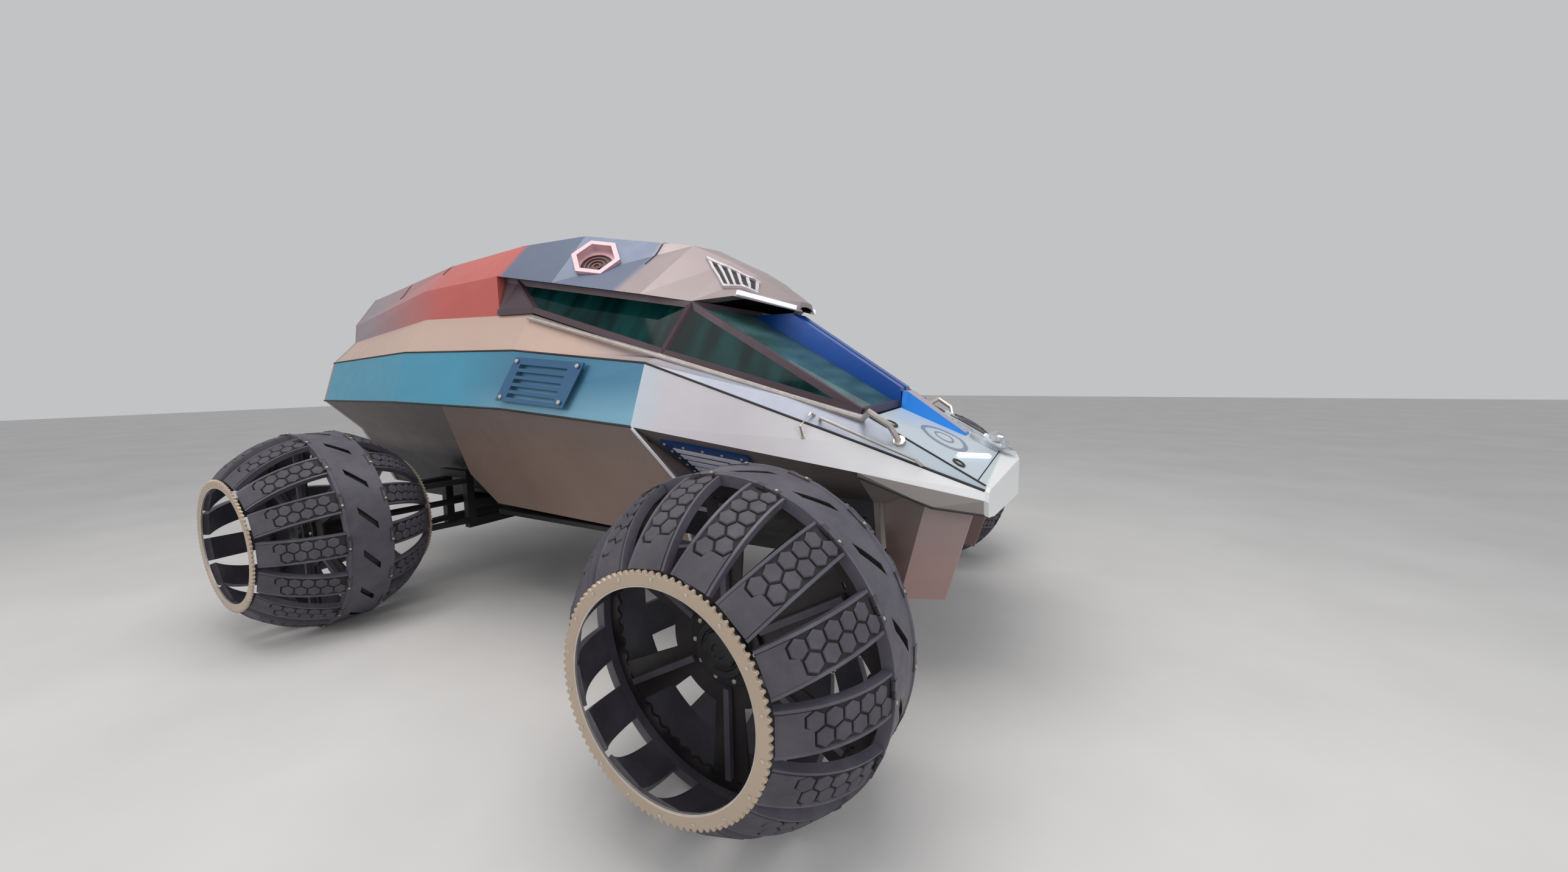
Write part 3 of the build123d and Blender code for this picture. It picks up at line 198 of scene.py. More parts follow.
def window(name, colour, alpha, roughness, gloss=0.7, depth=0.3):
    """Tinted glass with soft upright stripes. Their dark parts have the share depth of the colour."""
    mat, tree, bsdf = new_material(name)
    mapping = add_node(tree, "ShaderNodeMapping", in_Scale=(3.4, 1.0, 0.25))
    tree.links.new(object_place(tree), mapping.inputs["Vector"])
    streak = noise(tree, 3.0, 2.0, 0.4, mapping.outputs["Vector"])
    value = ramp(tree, streak, scaled(colour, depth), colour, 0.35, 0.65)
    tree.links.new(value, bsdf.inputs["Base Color"])
    roughen(tree, bsdf, noise(tree, 5.0, 4.0, 0.6), roughness * 0.6, roughness * 1.6)
    bsdf.inputs["Alpha"].default_value = alpha
    bsdf.inputs["IOR"].default_value = 1.5
    bsdf.inputs["Specular IOR Level"].default_value = gloss
    return mat


def glow(name, colour, strength):
    """A lamp's lens, a little lit."""
    mat, tree, bsdf = new_material(name)
    value = ramp(tree, noise(tree, 12.0), scaled(colour, 0.85), colour)
    tree.links.new(value, bsdf.inputs["Base Color"])
    bsdf.inputs["Emission Color"].default_value = colour
    bsdf.inputs["Emission Strength"].default_value = strength
    roughen(tree, bsdf, noise(tree, 30.0), 0.3, 0.45)
    return mat


LOOKS = {
    "cage": rubber("cage_dark", linear(70, 67, 76), 0.5),
    "groove": rubber("groove_black", linear(22, 21, 25), 0.8),
    "pads": rubber("tread_rubber", linear(62, 59, 66), 0.7),
    "rims": paint("rim_tan", linear(188, 170, 150), 0.4, 0.42, 0.16),
    "running_gear": paint("running_gear_black", linear(38, 37, 41), 0.5, 0.45, 0.2),
    "chassis": paint("chassis_black", linear(30, 30, 33), 0.4, 0.55, 0.2),
    "liner": paint("liner_dark", linear(44, 42, 46), 0.0, 0.7, 0.2, [("Z", 1.0, 1.12, linear(92, 84, 84))]),
    "front_paint": paint("flank_silver", linear(196, 191, 196), 0.3, 0.4, 0.07, [
        ("X", 1.15, 0.98, linear(184, 192, 202)),
        ("X", 1.5, 2.3, linear(238, 238, 240)),
    ]),
    "rear_paint": paint("flank_teal", linear(66, 120, 150), 0.35, 0.38, 0.08, [
        ("Z", 1.62, 1.44, linear(106, 152, 174)),
        ("X", -0.1, -0.7, linear(64, 148, 178)),
    ]),
    "shoulder_paint": paint("shoulder_beige", linear(150, 154, 168), 0.3, 0.42, 0.07, [
        ("X", 1.25, 0.3, linear(196, 170, 156)),
        ("X", 2.0, 2.5, linear(170, 182, 192)),
    ]),
    "lower_paint": paint("lower_brown", linear(128, 108, 98), 0.25, 0.46, 0.14, [
        ("Z", 1.15, 1.5, linear(112, 102, 100)),
    ]),
    "nose_paint": paint("nose_pearl", linear(198, 210, 216), 0.3, 0.4, 0.06, [
        ("Z", 1.14, 1.08, linear(222, 221, 216)),
        # The darker warm grey on the nose's outer sides and below z 1.06 is painted shade: the recessed side
        # under the flank line, which lies in shadow
        ("|Y|", 0.655, 0.668, linear(140, 133, 131)),
        ("Z", 1.06, 1.03, linear(140, 133, 131)),
        ("X", 2.704, 2.712, linear(238, 239, 239)),
    ]),
    "bonnet": paint("bonnet_pearl", linear(196, 208, 216), 0.3, 0.38, 0.06),
    "roof_paint": paint("roof_lilac", linear(156, 142, 143), 0.35, 0.42, 0.09, [
        ("X", 0.60, 0.54, linear(100, 110, 132)),
        ("X", -0.44, -0.50, linear(200, 98, 92)),
        ("X", -1.2, -2.5, linear(150, 138, 144)),
    ]),
    "spine": paint("spine_blue", linear(6, 74, 160), 0.25, 0.34, 0.12),
    "dark_trim": paint("trim_mauve", linear(84, 68, 76), 0.4, 0.42, 0.15),
    "skirt": paint("skirt_grey", linear(154, 139, 137), 0.3, 0.44, 0.1, [
        ("Z", 0.95, 0.65, linear(170, 141, 137)),
    ]),
    "glass": window("glass_teal", linear(8, 52, 52), 0.985, 0.06, 0.1),
    "screen": window("glass_screen", linear(84, 124, 124), 0.62, 0.05, 0.5, 0.6),
    "metal": metal("tube_silver", linear(206, 198, 192), 0.32, 0.75),
    "seat": rubber("seat_cloth", linear(52, 52, 58), 0.9),
    "lamp": window("lamp_clear", linear(225, 230, 238), 0.45, 0.08),
    "blue": paint("foot_blue", linear(10, 122, 214), 0.15, 0.36, 0.08),
    "seam": rubber("seam_black", linear(24, 22, 24), 0.6),
    "tab": paint("tab_grey", linear(74, 70, 76), 0.5, 0.4, 0.1),
    "tube_pale": paint("trim_pale", linear(198, 196, 204), 0.3, 0.4, 0.08),
    "badge": paint("badge_grey", linear(140, 146, 164), 0.4, 0.4, 0.08),
    "lilac": paint("foot_lilac", linear(176, 166, 180), 0.25, 0.4, 0.08),
    "inlet_red": paint("inlet_red", linear(120, 62, 62), 0.3, 0.45, 0.1),
    "chrome": metal("lamp_chrome", linear(232, 234, 238), 0.12, 1.0, 0.02),
    "louvre": paint("louvre_grey", linear(196, 190, 194), 0.3, 0.4, 0.08),
    "plate_dark": paint("plate_dark", linear(46, 42, 44), 0.4, 0.5, 0.2),
    "led": glow("led_white", linear(240, 246, 255), 0.4),
    "red_lamp": glow("red_lamp", linear(170, 24, 22), 0.25),
    "amber_lamp": glow("amber_lamp", linear(214, 120, 30), 0.2),
    "inlet": paint("inlet_pearl", linear(208, 172, 178), 0.2, 0.42, 0.08),
    "navy": paint("grille_navy", linear(14, 54, 108), 0.3, 0.4, 0.12, [("X", 0.9, 0.8, linear(40, 88, 126))]),
}

# A CAD node has the look of its slot, or the one given here
NODE_LOOK = {"spine": "spine", "bonnet_spine": "blue", "bonnet": "bonnet", "skirts": "skirt",
             "windscreen": "screen", "light_bars": "led", "inlets": "inlet", "grilles": "navy"}
slot_of = {row["node"]: row["material_slot"] for row in frame["record"]["subparts"]}
for node_name, obj in NODES.items():
    obj.data.materials.clear()
    obj.data.materials.append(LOOKS[NODE_LOOK.get(node_name, slot_of[node_name])])


# Mesh building

# Points nearer than MERGE become one. Edges above SHARP stay sharp on smooth pieces.
MERGE = 1e-6
SHARP = math.radians(32)
# How far a raised piece sinks into its base
WELD = 0.002
# A height above the whole vehicle
ABOVE_ALL = 4.0


class Shape:
    """Points and faces gathered into one mesh. Each face has a material number, its kind."""

    def __init__(self):
        self.points, self.faces, self.kinds = [], [], []

    def add(self, points, faces, kind=0):
        base = len(self.points)
        self.points += [Vector(p) for p in points]
        self.faces += [tuple(base + i for i in face) for face in faces]
        self.kinds += [kind] * len(faces)

    def loft(self, rings, kind=0, closed=True, caps=True):
        """Faces between rings of points. Closed joins the last ring to the first."""
        count = len(rings[0])
        faces = []
        for i in range(len(rings) if closed else len(rings) - 1):
            a, b = i * count, (i + 1) % len(rings) * count
            for j in range(count):
                k = (j + 1) % count
                faces.append((a + j, b + j, b + k, a + k))
        if caps and not closed:
            faces.append(tuple(range(count)))
            faces.append(tuple(reversed(range(len(rings) * count - count, len(rings) * count))))
        self.add([p for ring in rings for p in ring], faces, kind)


def new_mesh(name, shape, looks, smooth):
    mesh = bpy.data.meshes.new(name)
    mesh.from_pydata(shape.points, [], shape.faces)
    for look in looks:
        mesh.materials.append(LOOKS[look])
    mesh.polygons.foreach_set("material_index", shape.kinds)
    tool = bmesh.new()
    tool.from_mesh(mesh)
    bmesh.ops.remove_doubles(tool, verts=tool.verts, dist=MERGE)
    bmesh.ops.delete(tool, geom=[v for v in tool.verts if not v.link_faces], context="VERTS")
    bmesh.ops.recalc_face_normals(tool, faces=tool.faces)
    tool.to_mesh(mesh)
    tool.free()
    if smooth:
        mesh.shade_smooth()
        mesh.set_sharp_from_angle(angle=SHARP)
    return mesh


def make_piece(name, mesh, body, slot, matrix=None):
    """An object from a mesh, riding on a body."""
    obj = bpy.data.objects.new(name, mesh)
    if matrix is not None:
        obj.matrix_world = matrix
    scene.collection.objects.link(obj)
    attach(obj, body)
    return obj


def shape_piece(name, shape, looks, body, slot, matrix=None, smooth=False):
    make_piece(name, new_mesh(name, shape, looks, smooth), body, slot, matrix)


def both_sides(name, build, looks, body, slot):
    """A piece for each side of the body, built by a function of (shape, side)."""
    for word, side in (("right", RIGHT), ("left", LEFT)):
        shape = Shape()
        build(shape, side)
        shape_piece(f"{name}_{word}", shape, looks, body, slot)


def circle(steps):
    """Cosine and sine at even steps round a circle."""
    return [(math.cos(t), math.sin(t)) for t in (2 * math.pi * k / steps for k in range(steps))]


def ring_points(centre, across, rise, radius, steps):
    return [centre + radius * (c * across + s * rise) for c, s in circle(steps)]


def spun(points, angle):
    """Points turned about the local Z axis."""
    c, s = math.cos(angle), math.sin(angle)
    return [Vector((c * p[0] - s * p[1], s * p[0] + c * p[1], p[2])) for p in points]


def lathe(shape, profile, steps, kind=0):
    """A profile of (radius, z) turned about the local Z axis."""
    shape.loft([spun([(r, 0.0, z) for r, z in profile], 2 * math.pi * i / steps) for i in range(steps)], kind)


def bolt_on(shape, at, normal, radius, height, kind=0):
    """A hexagon bolt head standing on a point of a face."""
    normal = Vector(normal).normalized()
    across = normal.orthogonal().normalized()
    rise = normal.cross(across)
    shape.loft([ring_points(Vector(at) + normal * lift, across, rise, size, 6)
                for size, lift in ((radius, -WELD), (radius, 0.6 * height), (0.7 * radius, height))],
               kind, closed=False)


def rope(shape, points, radius, kind=0, sides=8):
    """A thin round strip along points."""
    points = [Vector(p) for p in points]
    rings = []
    for i, point in enumerate(points):
        along = (points[min(i + 1, len(points) - 1)] - points[max(i - 1, 0)]).normalized()
        across = along.cross(Vector((0, 0, 1)) if abs(along.z) < 0.9 else Vector((0, 1, 0))).normalized()
        rings.append(ring_points(point, across, across.cross(along), radius, sides))
    shape.loft(rings, kind, closed=False)


def plate(shape, outline, normal, low, high):
    """A flat plate on an outline of points, from low to high along the normal."""
    shape.loft([[p + normal * h for p in outline] for h in (low, high)], closed=False)


def draper(node):
    """A function that gives a point over the top of a CAD node at (x, y), lifted from it, and the normal."""
    mesh = NODES[node].data
    tree = BVHTree.FromPolygons([v.co for v in mesh.vertices], [tuple(p.vertices) for p in mesh.polygons])

    def at(x, y, lift=0.0):
        above = Vector((x, y, ABOVE_ALL))
        place, normal = tree.ray_cast(above, Vector((0, 0, -1)))[:2]
        return place + normal * lift, normal

    return at


# Wheels, built round the local Z axis: a slotted band, bulged slats with hexagon tread,
# toothed end rings, and a notched hub plate with its hub
SLATS = 15
BAND_HALF, BAND_INNER = 0.125, 0.606
RIM_R, RIM_HOLE_R, RIM_Z, RIM_T = 0.411, 0.362, 0.48, 0.012
RIM_TOP = RIM_Z + RIM_T
PAD_T, SLAT_T, SLAT_HALF_W = 0.020, 0.016, 0.0725

# The slats' arc: it passes through a point at the band and one at the ring, as (radius, z)
ARC_R = 0.55
band_point, rim_point = (WHEEL_R - 0.006, BAND_HALF - 0.010), (RIM_R - 0.004, RIM_Z - 0.008)
chord = math.dist(band_point, rim_point)
reach = math.sqrt(ARC_R**2 - (chord / 2) ** 2)
arc_r = (band_point[0] + rim_point[0]) / 2 - reach * (rim_point[1] - band_point[1]) / chord
arc_z = (band_point[1] + rim_point[1]) / 2 - reach * (band_point[0] - rim_point[0]) / chord
ARC_START = math.asin((band_point[1] - arc_z) / ARC_R)
ARC_LENGTH = ARC_R * (math.asin((rim_point[1] - arc_z) / ARC_R) - ARC_START)

# Tread: heights are measured from the pad's face, lengths from the start of the arc
GROOVE, RIB_TOP, RIB_W = -0.009, -0.003, 0.010
SLAT_START = 0.012
HEX_PITCH, HEX_R, HEX_COLUMN, HEX_START = 0.061, 0.0312, 0.0268, 0.045
HEX_ROWS = int((0.68 * ARC_LENGTH - 0.03) / HEX_PITCH) + 1

# Band: (z, radius) round its section. Each slat has 12 columns of faces, and the slot takes two of them.
BAND_TREAD, SLOT_FLOOR, SLOT_HALF = 0.6455, 0.622, 0.047
BAND_SECTION = [
    (-BAND_HALF, BAND_INNER), (-BAND_HALF, 0.6475), (-0.1225, 0.650), (-0.110, 0.650),
    (-0.107, BAND_TREAD), (-SLOT_HALF, BAND_TREAD), (SLOT_HALF, BAND_TREAD), (0.107, BAND_TREAD),
    (0.110, 0.650), (0.1225, 0.650), (BAND_HALF, 0.6475), (BAND_HALF, BAND_INNER),
]
SLOT_ROW, SLOT_COLUMNS, COLUMNS_PER_SLAT = 5, (5, 6), 12
# How much the columns lean: metres round the wheel for each metre across the band
BAND_LEAN = 1.25


def on_slat(along, across, lift):
    """A point of the slat at angle zero: metres along its arc, across it, and above its face."""
    angle = ARC_START + along / ARC_R
    radius = ARC_R + lift
    return Vector((arc_r + radius * math.cos(angle), across, arc_z + radius * math.sin(angle)))


def slat_place(angle, mirror):
    """A function that carries points of the slat at angle zero to another slat."""
    def place(points):
        if mirror:
            points = [Vector((p.x, p.y, -p.z)) for p in points]
        return spun(points, angle)

    return place


def slat_bar(shape, place):
    """A slat with the base of its pad: a rib on each side, and a black groove between them."""
    half = [(-SLAT_HALF_W, -PAD_T - SLAT_T), (-SLAT_HALF_W, RIB_TOP), (-SLAT_HALF_W + RIB_W, RIB_TOP),
            (-SLAT_HALF_W + RIB_W + 0.003, GROOVE)]
    section = half + [(-across, lift) for across, lift in reversed(half)]
    steps = 16
    rings = []
    for i in range(steps + 1):
        along = SLAT_START + (ARC_LENGTH - SLAT_START) * i / steps
        rings.append(place([on_slat(along, across, lift) for across, lift in section]))
    first = len(shape.faces)
    shape.loft(rings, closed=False)
    for i in range(steps):
        shape.kinds[first + i * len(section) + len(half) - 1] = 1


def hex_blocks(shape, place):
    """Two columns of hexagon blocks, half a pitch apart."""
    for side in (-1, 1):
        for row in range(HEX_ROWS):
            centre = HEX_START + row * HEX_PITCH + (HEX_PITCH / 2 if side > 0 else 0)
            shape.loft([place([on_slat(centre + radius * s, side * HEX_COLUMN + radius * c, lift)
                               for c, s in circle(6)])
                        for radius, lift in ((HEX_R, GROOVE - WELD), (HEX_R, RIB_TOP), (HEX_R - 0.004, 0.0))],
                       closed=False)


def pad_end(shape, place):
    """The plain outer end of a pad. Its edge follows the last block of each column."""
    near = HEX_START + (HEX_ROWS - 1) * HEX_PITCH
    far = near + HEX_PITCH / 2
    edge = SLAT_HALF_W - RIB_W - 0.002
    clear = HEX_R * math.sqrt(3) / 2 + 0.007
    front = [(-edge, near + 0.01), (-HEX_COLUMN - 0.02, near + clear), (-HEX_COLUMN + 0.016, near + clear),
             (0.004, far + 0.006), (HEX_COLUMN - 0.014, far + clear), (HEX_COLUMN + 0.02, far + clear),
             (edge, far + 0.012)]
    end = ARC_LENGTH - 0.002
    steps = 8
    rings = []
    for i in range(steps + 1):
        line = [(start + (end - start) * i / steps, across) for across, start in front]
        ring = [on_slat(along, across, 0.0) for along, across in line]
        ring += [on_slat(along, across, GROOVE - WELD) for along, across in reversed(line)]
        rings.append(place(ring))
    shape.loft(rings, closed=False, caps=False)
    for ring in (rings[0], rings[-1]):
        for i in range(len(front) - 1):
            shape.add([ring[i], ring[i + 1], ring[-2 - i], ring[-1 - i]], [(0, 1, 2, 3)])


def band_at(turn, z, radius):
    angle = turn + BAND_LEAN * z / WHEEL_R
    return Vector((radius * math.cos(angle), radius * math.sin(angle), z))


def slot_cell(shape, top, floor, ends):
    """A cell of a slot: its floor and the walls at the ends given."""
    faces = [(4, 5, 6, 7)] + [(i, (i + 1) % 4, (i + 1) % 4 + 4, i + 4) for i in ends]
    shape.add(top + floor, faces, 1)


def wheel_block(shape, outline, levels, angle, kind=0):
    """A flat block of the wheel: an outline of (outwards, across) between two levels of z."""
    shape.loft([spun([(r, a, z) for r, a in outline], angle) for z in levels], kind, closed=False)


def wheel_bolts(shape, count, radius, levels, way=1, shift=0.0):
    """Hexagon heads in a circle round the axle. A level is (head's radius, z)."""
    for i in range(count):
        head = [[(radius + r * c, r * s, way * z) for c, s in circle(6)] for r, z in levels]
        shape.loft([spun(ring, 2 * math.pi * (i + shift) / count) for ring in head], 1, closed=False)


def band_shape():
    """The band with its slanted slots, and tabs and bolts on its edges."""
    shape = Shape()
    columns = SLATS * COLUMNS_PER_SLAT
    step = 2 * math.pi / columns
    for column in range(columns):
        u0, u1 = column * step, (column + 1) * step
        cell = column % COLUMNS_PER_SLAT
        for row, (z0, r0) in enumerate(BAND_SECTION):
            z1, r1 = BAND_SECTION[(row + 1) % len(BAND_SECTION)]
            pieces = 4 if row == SLOT_ROW else 1
            for k in range(pieces):
                za, zb = (z0 + (z1 - z0) * j / pieces for j in (k, k + 1))
                ra, rb = (r0 + (r1 - r0) * j / pieces for j in (k, k + 1))
                corners = ((u0, za, ra), (u1, za, ra), (u1, zb, rb), (u0, zb, rb))
                top = [band_at(u, z, r) for u, z, r in corners]
                if row != SLOT_ROW or cell not in SLOT_COLUMNS:
                    shape.add(top, [(0, 1, 2, 3)])
                    continue
                ends = [3 if cell == SLOT_COLUMNS[0] else 1]
                ends += [0] if k == 0 else []
                ends += [2] if k == pieces - 1 else []
                slot_cell(shape, top, [band_at(u, z, SLOT_FLOOR) for u, z, r in corners], ends)
    # On each slat's foot: two grey tabs with a black gap, as (place, half width, top, kind), and a bolt
    tabs = ((-0.030, 0.016, 0.6495, 2), (0.030, 0.016, 0.6495, 2), (0.0, 0.012, 0.6475, 1))
    for i in range(SLATS):
        angle = 2 * math.pi * i / SLATS
        for way in (-1, 1):
            for at, half, top, kind in tabs:
                outline = [(0.640, at - half), (0.640, at + half), (top, at + half), (top, at - half)]
                wheel_block(shape, outline, (way * 0.104, way * 0.134), angle, kind)
            bolt_at, out = spun([(0.6505, -0.030, way * 0.118), (1.0, 0.0, 0.0)], angle)
            bolt_on(shape, bolt_at, out, 0.007, 0.003, 3)
    return shape


def rim_shape():
    """The two end rings: teeth round the edge, bolts, and a bright lip inside."""
    shape = Shape()
    teeth, tooth = 96, 0.011
    bolts, bolt_circle = 18, 0.387
    for way in (-1, 1):
        rings = []
        for i in range(teeth * 4):
            outer = RIM_R if i % 4 < 2 else RIM_R - tooth
            section = [(RIM_HOLE_R + 0.003, RIM_Z), (RIM_HOLE_R, RIM_Z + 0.003), (RIM_HOLE_R, RIM_TOP - 0.002),
                       (RIM_HOLE_R + 0.002, RIM_TOP), (outer - 0.001, RIM_TOP), (outer, RIM_TOP - 0.001),
                       (outer, RIM_Z)]
            rings.append(spun([(r, 0, way * z) for r, z in section], 2 * math.pi * i / (teeth * 4)))
        shape.loft(rings)
        levels = ((0.007, RIM_TOP - WELD), (0.007, RIM_TOP + 0.002), (0.005, RIM_TOP + 0.003))
        wheel_bolts(shape, bolts, bolt_circle, levels, way, 0.5)
        lip = [(RIM_HOLE_R - 0.004, RIM_Z + 0.001), (RIM_HOLE_R - 0.004, RIM_TOP - 0.003),
               (RIM_HOLE_R + 0.001, RIM_TOP - 0.001), (RIM_HOLE_R + 0.001, RIM_Z + 0.001)]
        lathe(shape, [(r, way * z) for r, z in lip], 96, 1)
    return shape


def hub_plate_shape():
    """The plate inside: an outer ring with a notched edge, six ribbed spokes and an inner disc."""
    shape = Shape()
    z0, z1 = 0.080, 0.094
    notches, notched_r, inner_r, outer_r = 60, 0.560, 0.545, 0.604
    rings = []
    for i in range(notches * 4):
        inner = inner_r if i % 4 < 2 else notched_r
        section = [(inner, 0, z0), (inner, 0, z1), (outer_r, 0, z1), (outer_r, 0, z0)]
        rings.append(spun(section, 2 * math.pi * i / (notches * 4)))
    shape.loft(rings)
    lathe(shape, [(0.056, z0), (0.056, z1), (0.250, z1), (0.250, z0)], 72)
    spoke = [(0.235, -0.060), (0.550, -0.085), (0.550, 0.085), (0.235, 0.060)]
    rib = [(0.170, -0.012), (0.540, -0.012), (0.540, 0.012), (0.170, 0.012)]
    for i in range(6):
        angle = math.pi / 6 + math.pi / 3 * i
        wheel_block(shape, spoke, (z0 + 0.001, z1 - 0.001), angle)
        wheel_block(shape, rib, (z1 - WELD, z1 + 0.022), angle, 1)
    return shape


def hub_shape():
    """The hub: a turned boss through the plate, with a bolted flange and a cap."""
    shape = Shape()
    boss = [(0.0005, -0.010), (0.110, -0.010), (0.110, 0.078), (0.056, 0.080), (0.056, 0.0945)]
    flange = [(0.152, 0.0955), (0.155, 0.098), (0.155, 0.112), (0.152, 0.114), (0.112, 0.114)]
    collar = [(0.110, 0.117), (0.110, 0.142), (0.106, 0.146), (0.084, 0.146), (0.080, 0.142)]
    cap = [(0.074, 0.142), (0.070, 0.158), (0.066, 0.160), (0.030, 0.160), (0.026, 0.154), (0.0005, 0.154)]
    lathe(shape, boss + flange + collar + cap, 64)
    wheel_bolts(shape, 10, 0.132, ((0.010, 0.113), (0.010, 0.121), (0.007, 0.123)))
    return shape


slats, tread = Shape(), Shape()
for i in range(SLATS):
    for mirror in (False, True):
        place = slat_place(2 * math.pi * i / SLATS, mirror)
        slat_bar(slats, place)
        hex_blocks(tread, place)
        pad_end(tread, place)

# Piece, shape, looks, slot, the CAD node that it stands for, and whether it is smooth
WHEEL_PIECES = [
    ("band", band_shape(), ["cage", "seam", "tab", "metal"], "cage", "wheel_cage_", True),
    ("slats", slats, ["cage", "groove"], "cage", "wheel_cage_", True),
    ("tread", tread, ["pads"], "pads", "tread_pads_", False),
    ("rings", rim_shape(), ["rims", "metal"], "rims", "wheel_plates_", True),
    ("hub_plate", hub_plate_shape(), ["plate_dark", "cage"], "rims", "wheel_plates_", False),
    ("hub", hub_shape(), ["running_gear", "metal"], "cage", "wheel_cage_", True),
]
for piece, shape, looks, slot, node, smooth in WHEEL_PIECES:
    # All four wheels share one mesh, whose Z axis points out of the vehicle
    mesh = new_mesh(f"{piece}_{CORNERS[0][0]}", shape, looks, smooth)
    for corner, axle_x, side in CORNERS:
        at_axle = Matrix((
            (1, 0, 0, axle_x),
            (0, 0, side, side * WHEEL_Y),
            (0, -side, 0, WHEEL_R),
            (0, 0, 0, 1),
        ))
        obj = make_piece(f"{piece}_{corner}", mesh, f"wheel_{corner}", slot, at_axle)
        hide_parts(node + corner)

# Body lines at their stations, as in the CAD: half width and height
STATION_X = [-2.80, -1.45, -0.15, 0.96, 2.13, 2.71]
RAIL_LINE = [(0.760, 1.990), (0.860, 2.110), (0.900, 2.070), (0.900, 1.762), (0.690, 1.430), (0.672, 1.112)]
TOP_LINE = [(0.940, 1.800), (1.040, 1.850), (1.055, 1.825), (1.050, 1.722), (0.816, 1.306), (0.705, 1.095)]
LOW_LINE = [(1.040, 1.470), (1.150, 1.480), (1.180, 1.455), (1.180, 1.380), (0.859, 1.166), (0.715, 1.050)]
WELL_LINE = [(0.780, 1.200), (0.860, 1.180), (0.900, 1.150), (0.880, 1.080), (0.600, 0.960), (0.560, 0.962)]
TAIL_X, _, SILL_X, CREASE_X, SCREEN_X, CORNER_X = STATION_X


def on_line(line, x):
    """Half width and height of a body line at x."""
    for i in range(len(STATION_X) - 1):
        if x <= STATION_X[i + 1] + MERGE:
            share = (x - STATION_X[i]) / (STATION_X[i + 1] - STATION_X[i])
            (y0, z0), (y1, z1) = line[i], line[i + 1]
            return y0 + share * (y1 - y0), z0 + share * (z1 - z0)


def on_skin(upper, lower, x, below, lift, side):
    """A point on a side panel: metres below its upper line, raised from its face."""
    (y0, z0), (y1, z1) = on_line(upper, x), on_line(lower, x)
    width = math.hypot(y1 - y0, z1 - z0)
    across, fall = (y1 - y0) / width, (z0 - z1) / width
    return Vector((x, side * (y0 + across * below + fall * lift), z0 - fall * below + across * lift))


def skin_bolt(shape, upper, lower, x, below, lift, side, radius, height, kind=0):
    """A bolt on something that stands on a side panel, lift above it."""
    at = on_skin(upper, lower, x, below, lift, side)
    bolt_on(shape, at, at - on_skin(upper, lower, x, below, 0.0, side), radius, height, kind)


# Black seams along the body lines, and a silver strip on the lower flank's front edge
SEAM_R, THIN_SEAM_R, EDGE_R = 0.007, 0.005, 0.010
SEAM_SINK, SEAM_INSET = 0.002, 0.004
NOSE_SEAM = [(SCREEN_X + SEAM_INSET, 0.846, 1.140), (2.48, 0.790, 1.010),
             (CORNER_X - SEAM_INSET, 0.700, 0.977)]
FLANK_EDGE = [(0.966, 1.178, 1.374), (1.152, 1.047, 1.080), (1.152, 0.936, 0.712)]


def seams(shape, side):
    def along(line, xs, radius=SEAM_R, sink=SEAM_SINK):
        rope(shape, [(x, side * (on_line(line, x)[0] - sink), on_line(line, x)[1]) for x in xs], radius)

    along(TOP_LINE, [TAIL_X + WELD] + STATION_X[1:5] + [CORNER_X - SEAM_INSET])
    along(LOW_LINE, [TAIL_X + WELD] + STATION_X[1:4])
    along(RAIL_LINE, [SCREEN_X + SEAM_INSET, CORNER_X - SEAM_INSET], THIN_SEAM_R, 0.0)
    rope(shape, [(x, side * (y - SEAM_SINK), z) for x, y, z in NOSE_SEAM], SEAM_R)


def flank_edge(shape, side):
    rope(shape, [(x, side * y, z) for x, y, z in FLANK_EDGE], EDGE_R)


both_sides("seams", seams, ["seam"], "body", "liner")
both_sides("flank_edge", flank_edge, ["tube_pale"], "body", "metal")

# Grille behind each front wheel: pale slots in its frame, as (x from the crease, length, metres below
# the flank's lower line), and bolts along the frame's upper edge and down its rear edge
GRILLE_SLOTS = [(0.190 + 0.015 * i, 0.360 - 0.022 * i, 0.115 + 0.055 * i) for i in range(4)]
GRILLE_BOLTS = [(0.150 + 0.105 * i, 0.088) for i in range(5)]
GRILLE_BOLTS += [(0.152 + 0.014 * i, 0.088 + 0.058 * i) for i in range(1, 5)]
# The faces that the bolts stand on: the frame, and the stand-offs of the rear flank's slotted plate
FRAME_TOP, STANDOFF_TOP = 0.014, 0.040
STANDOFFS = [(0.120, 0.078), (0.650, 0.070), (0.570, 0.300), (0.045, 0.318)]


def grille_slots(shape, side):
    for start, length, below in GRILLE_SLOTS:
        corners = ((-0.004, -0.004), (length + 0.004, -0.004), (length - 0.004, 0.030), (0.004, 0.030))
        outline = [on_skin(LOW_LINE, WELL_LINE, CREASE_X + start + dx, below + dy, 0.0, side)
                   for dx, dy in corners]
        normal = (outline[1] - outline[0]).cross(outline[3] - outline[0]).normalized()
        normal *= 1 if normal.y * side > 0 else -1
        plate(shape, outline, normal, 0.001, 0.0165)
    for start, below in GRILLE_BOLTS:
        skin_bolt(shape, LOW_LINE, WELL_LINE, CREASE_X + start, below, FRAME_TOP, side, 0.008, 0.004, 1)


both_sides("grille_slots", grille_slots, ["tube_pale", "metal"], "body", "dark_trim")


def plate_bolts(shape, side):
    for start, below in STANDOFFS:
        skin_bolt(shape, TOP_LINE, LOW_LINE, SILL_X + start, below, STANDOFF_TOP, side, 0.015, 0.008)


both_sides("plate_bolts", plate_bolts, ["metal"], "body", "dark_trim")

# Bonnet: ring badges, grommets, light bars, and the lilac top of the spine's foot
on_bonnet = draper("bonnet")
BADGE_X, BADGE_Y = 2.44, 0.331
GROMMETS = [(2.225, 0.595), (2.565, 0.585)]
LIGHT_FROM, LIGHT_TO = (2.545, 0.500), (2.665, 0.250)
LID_TOP_Z = 1.450
LID_SLOPE = (LID_TOP_Z - 1.196) / (CORNER_X - SCREEN_X)


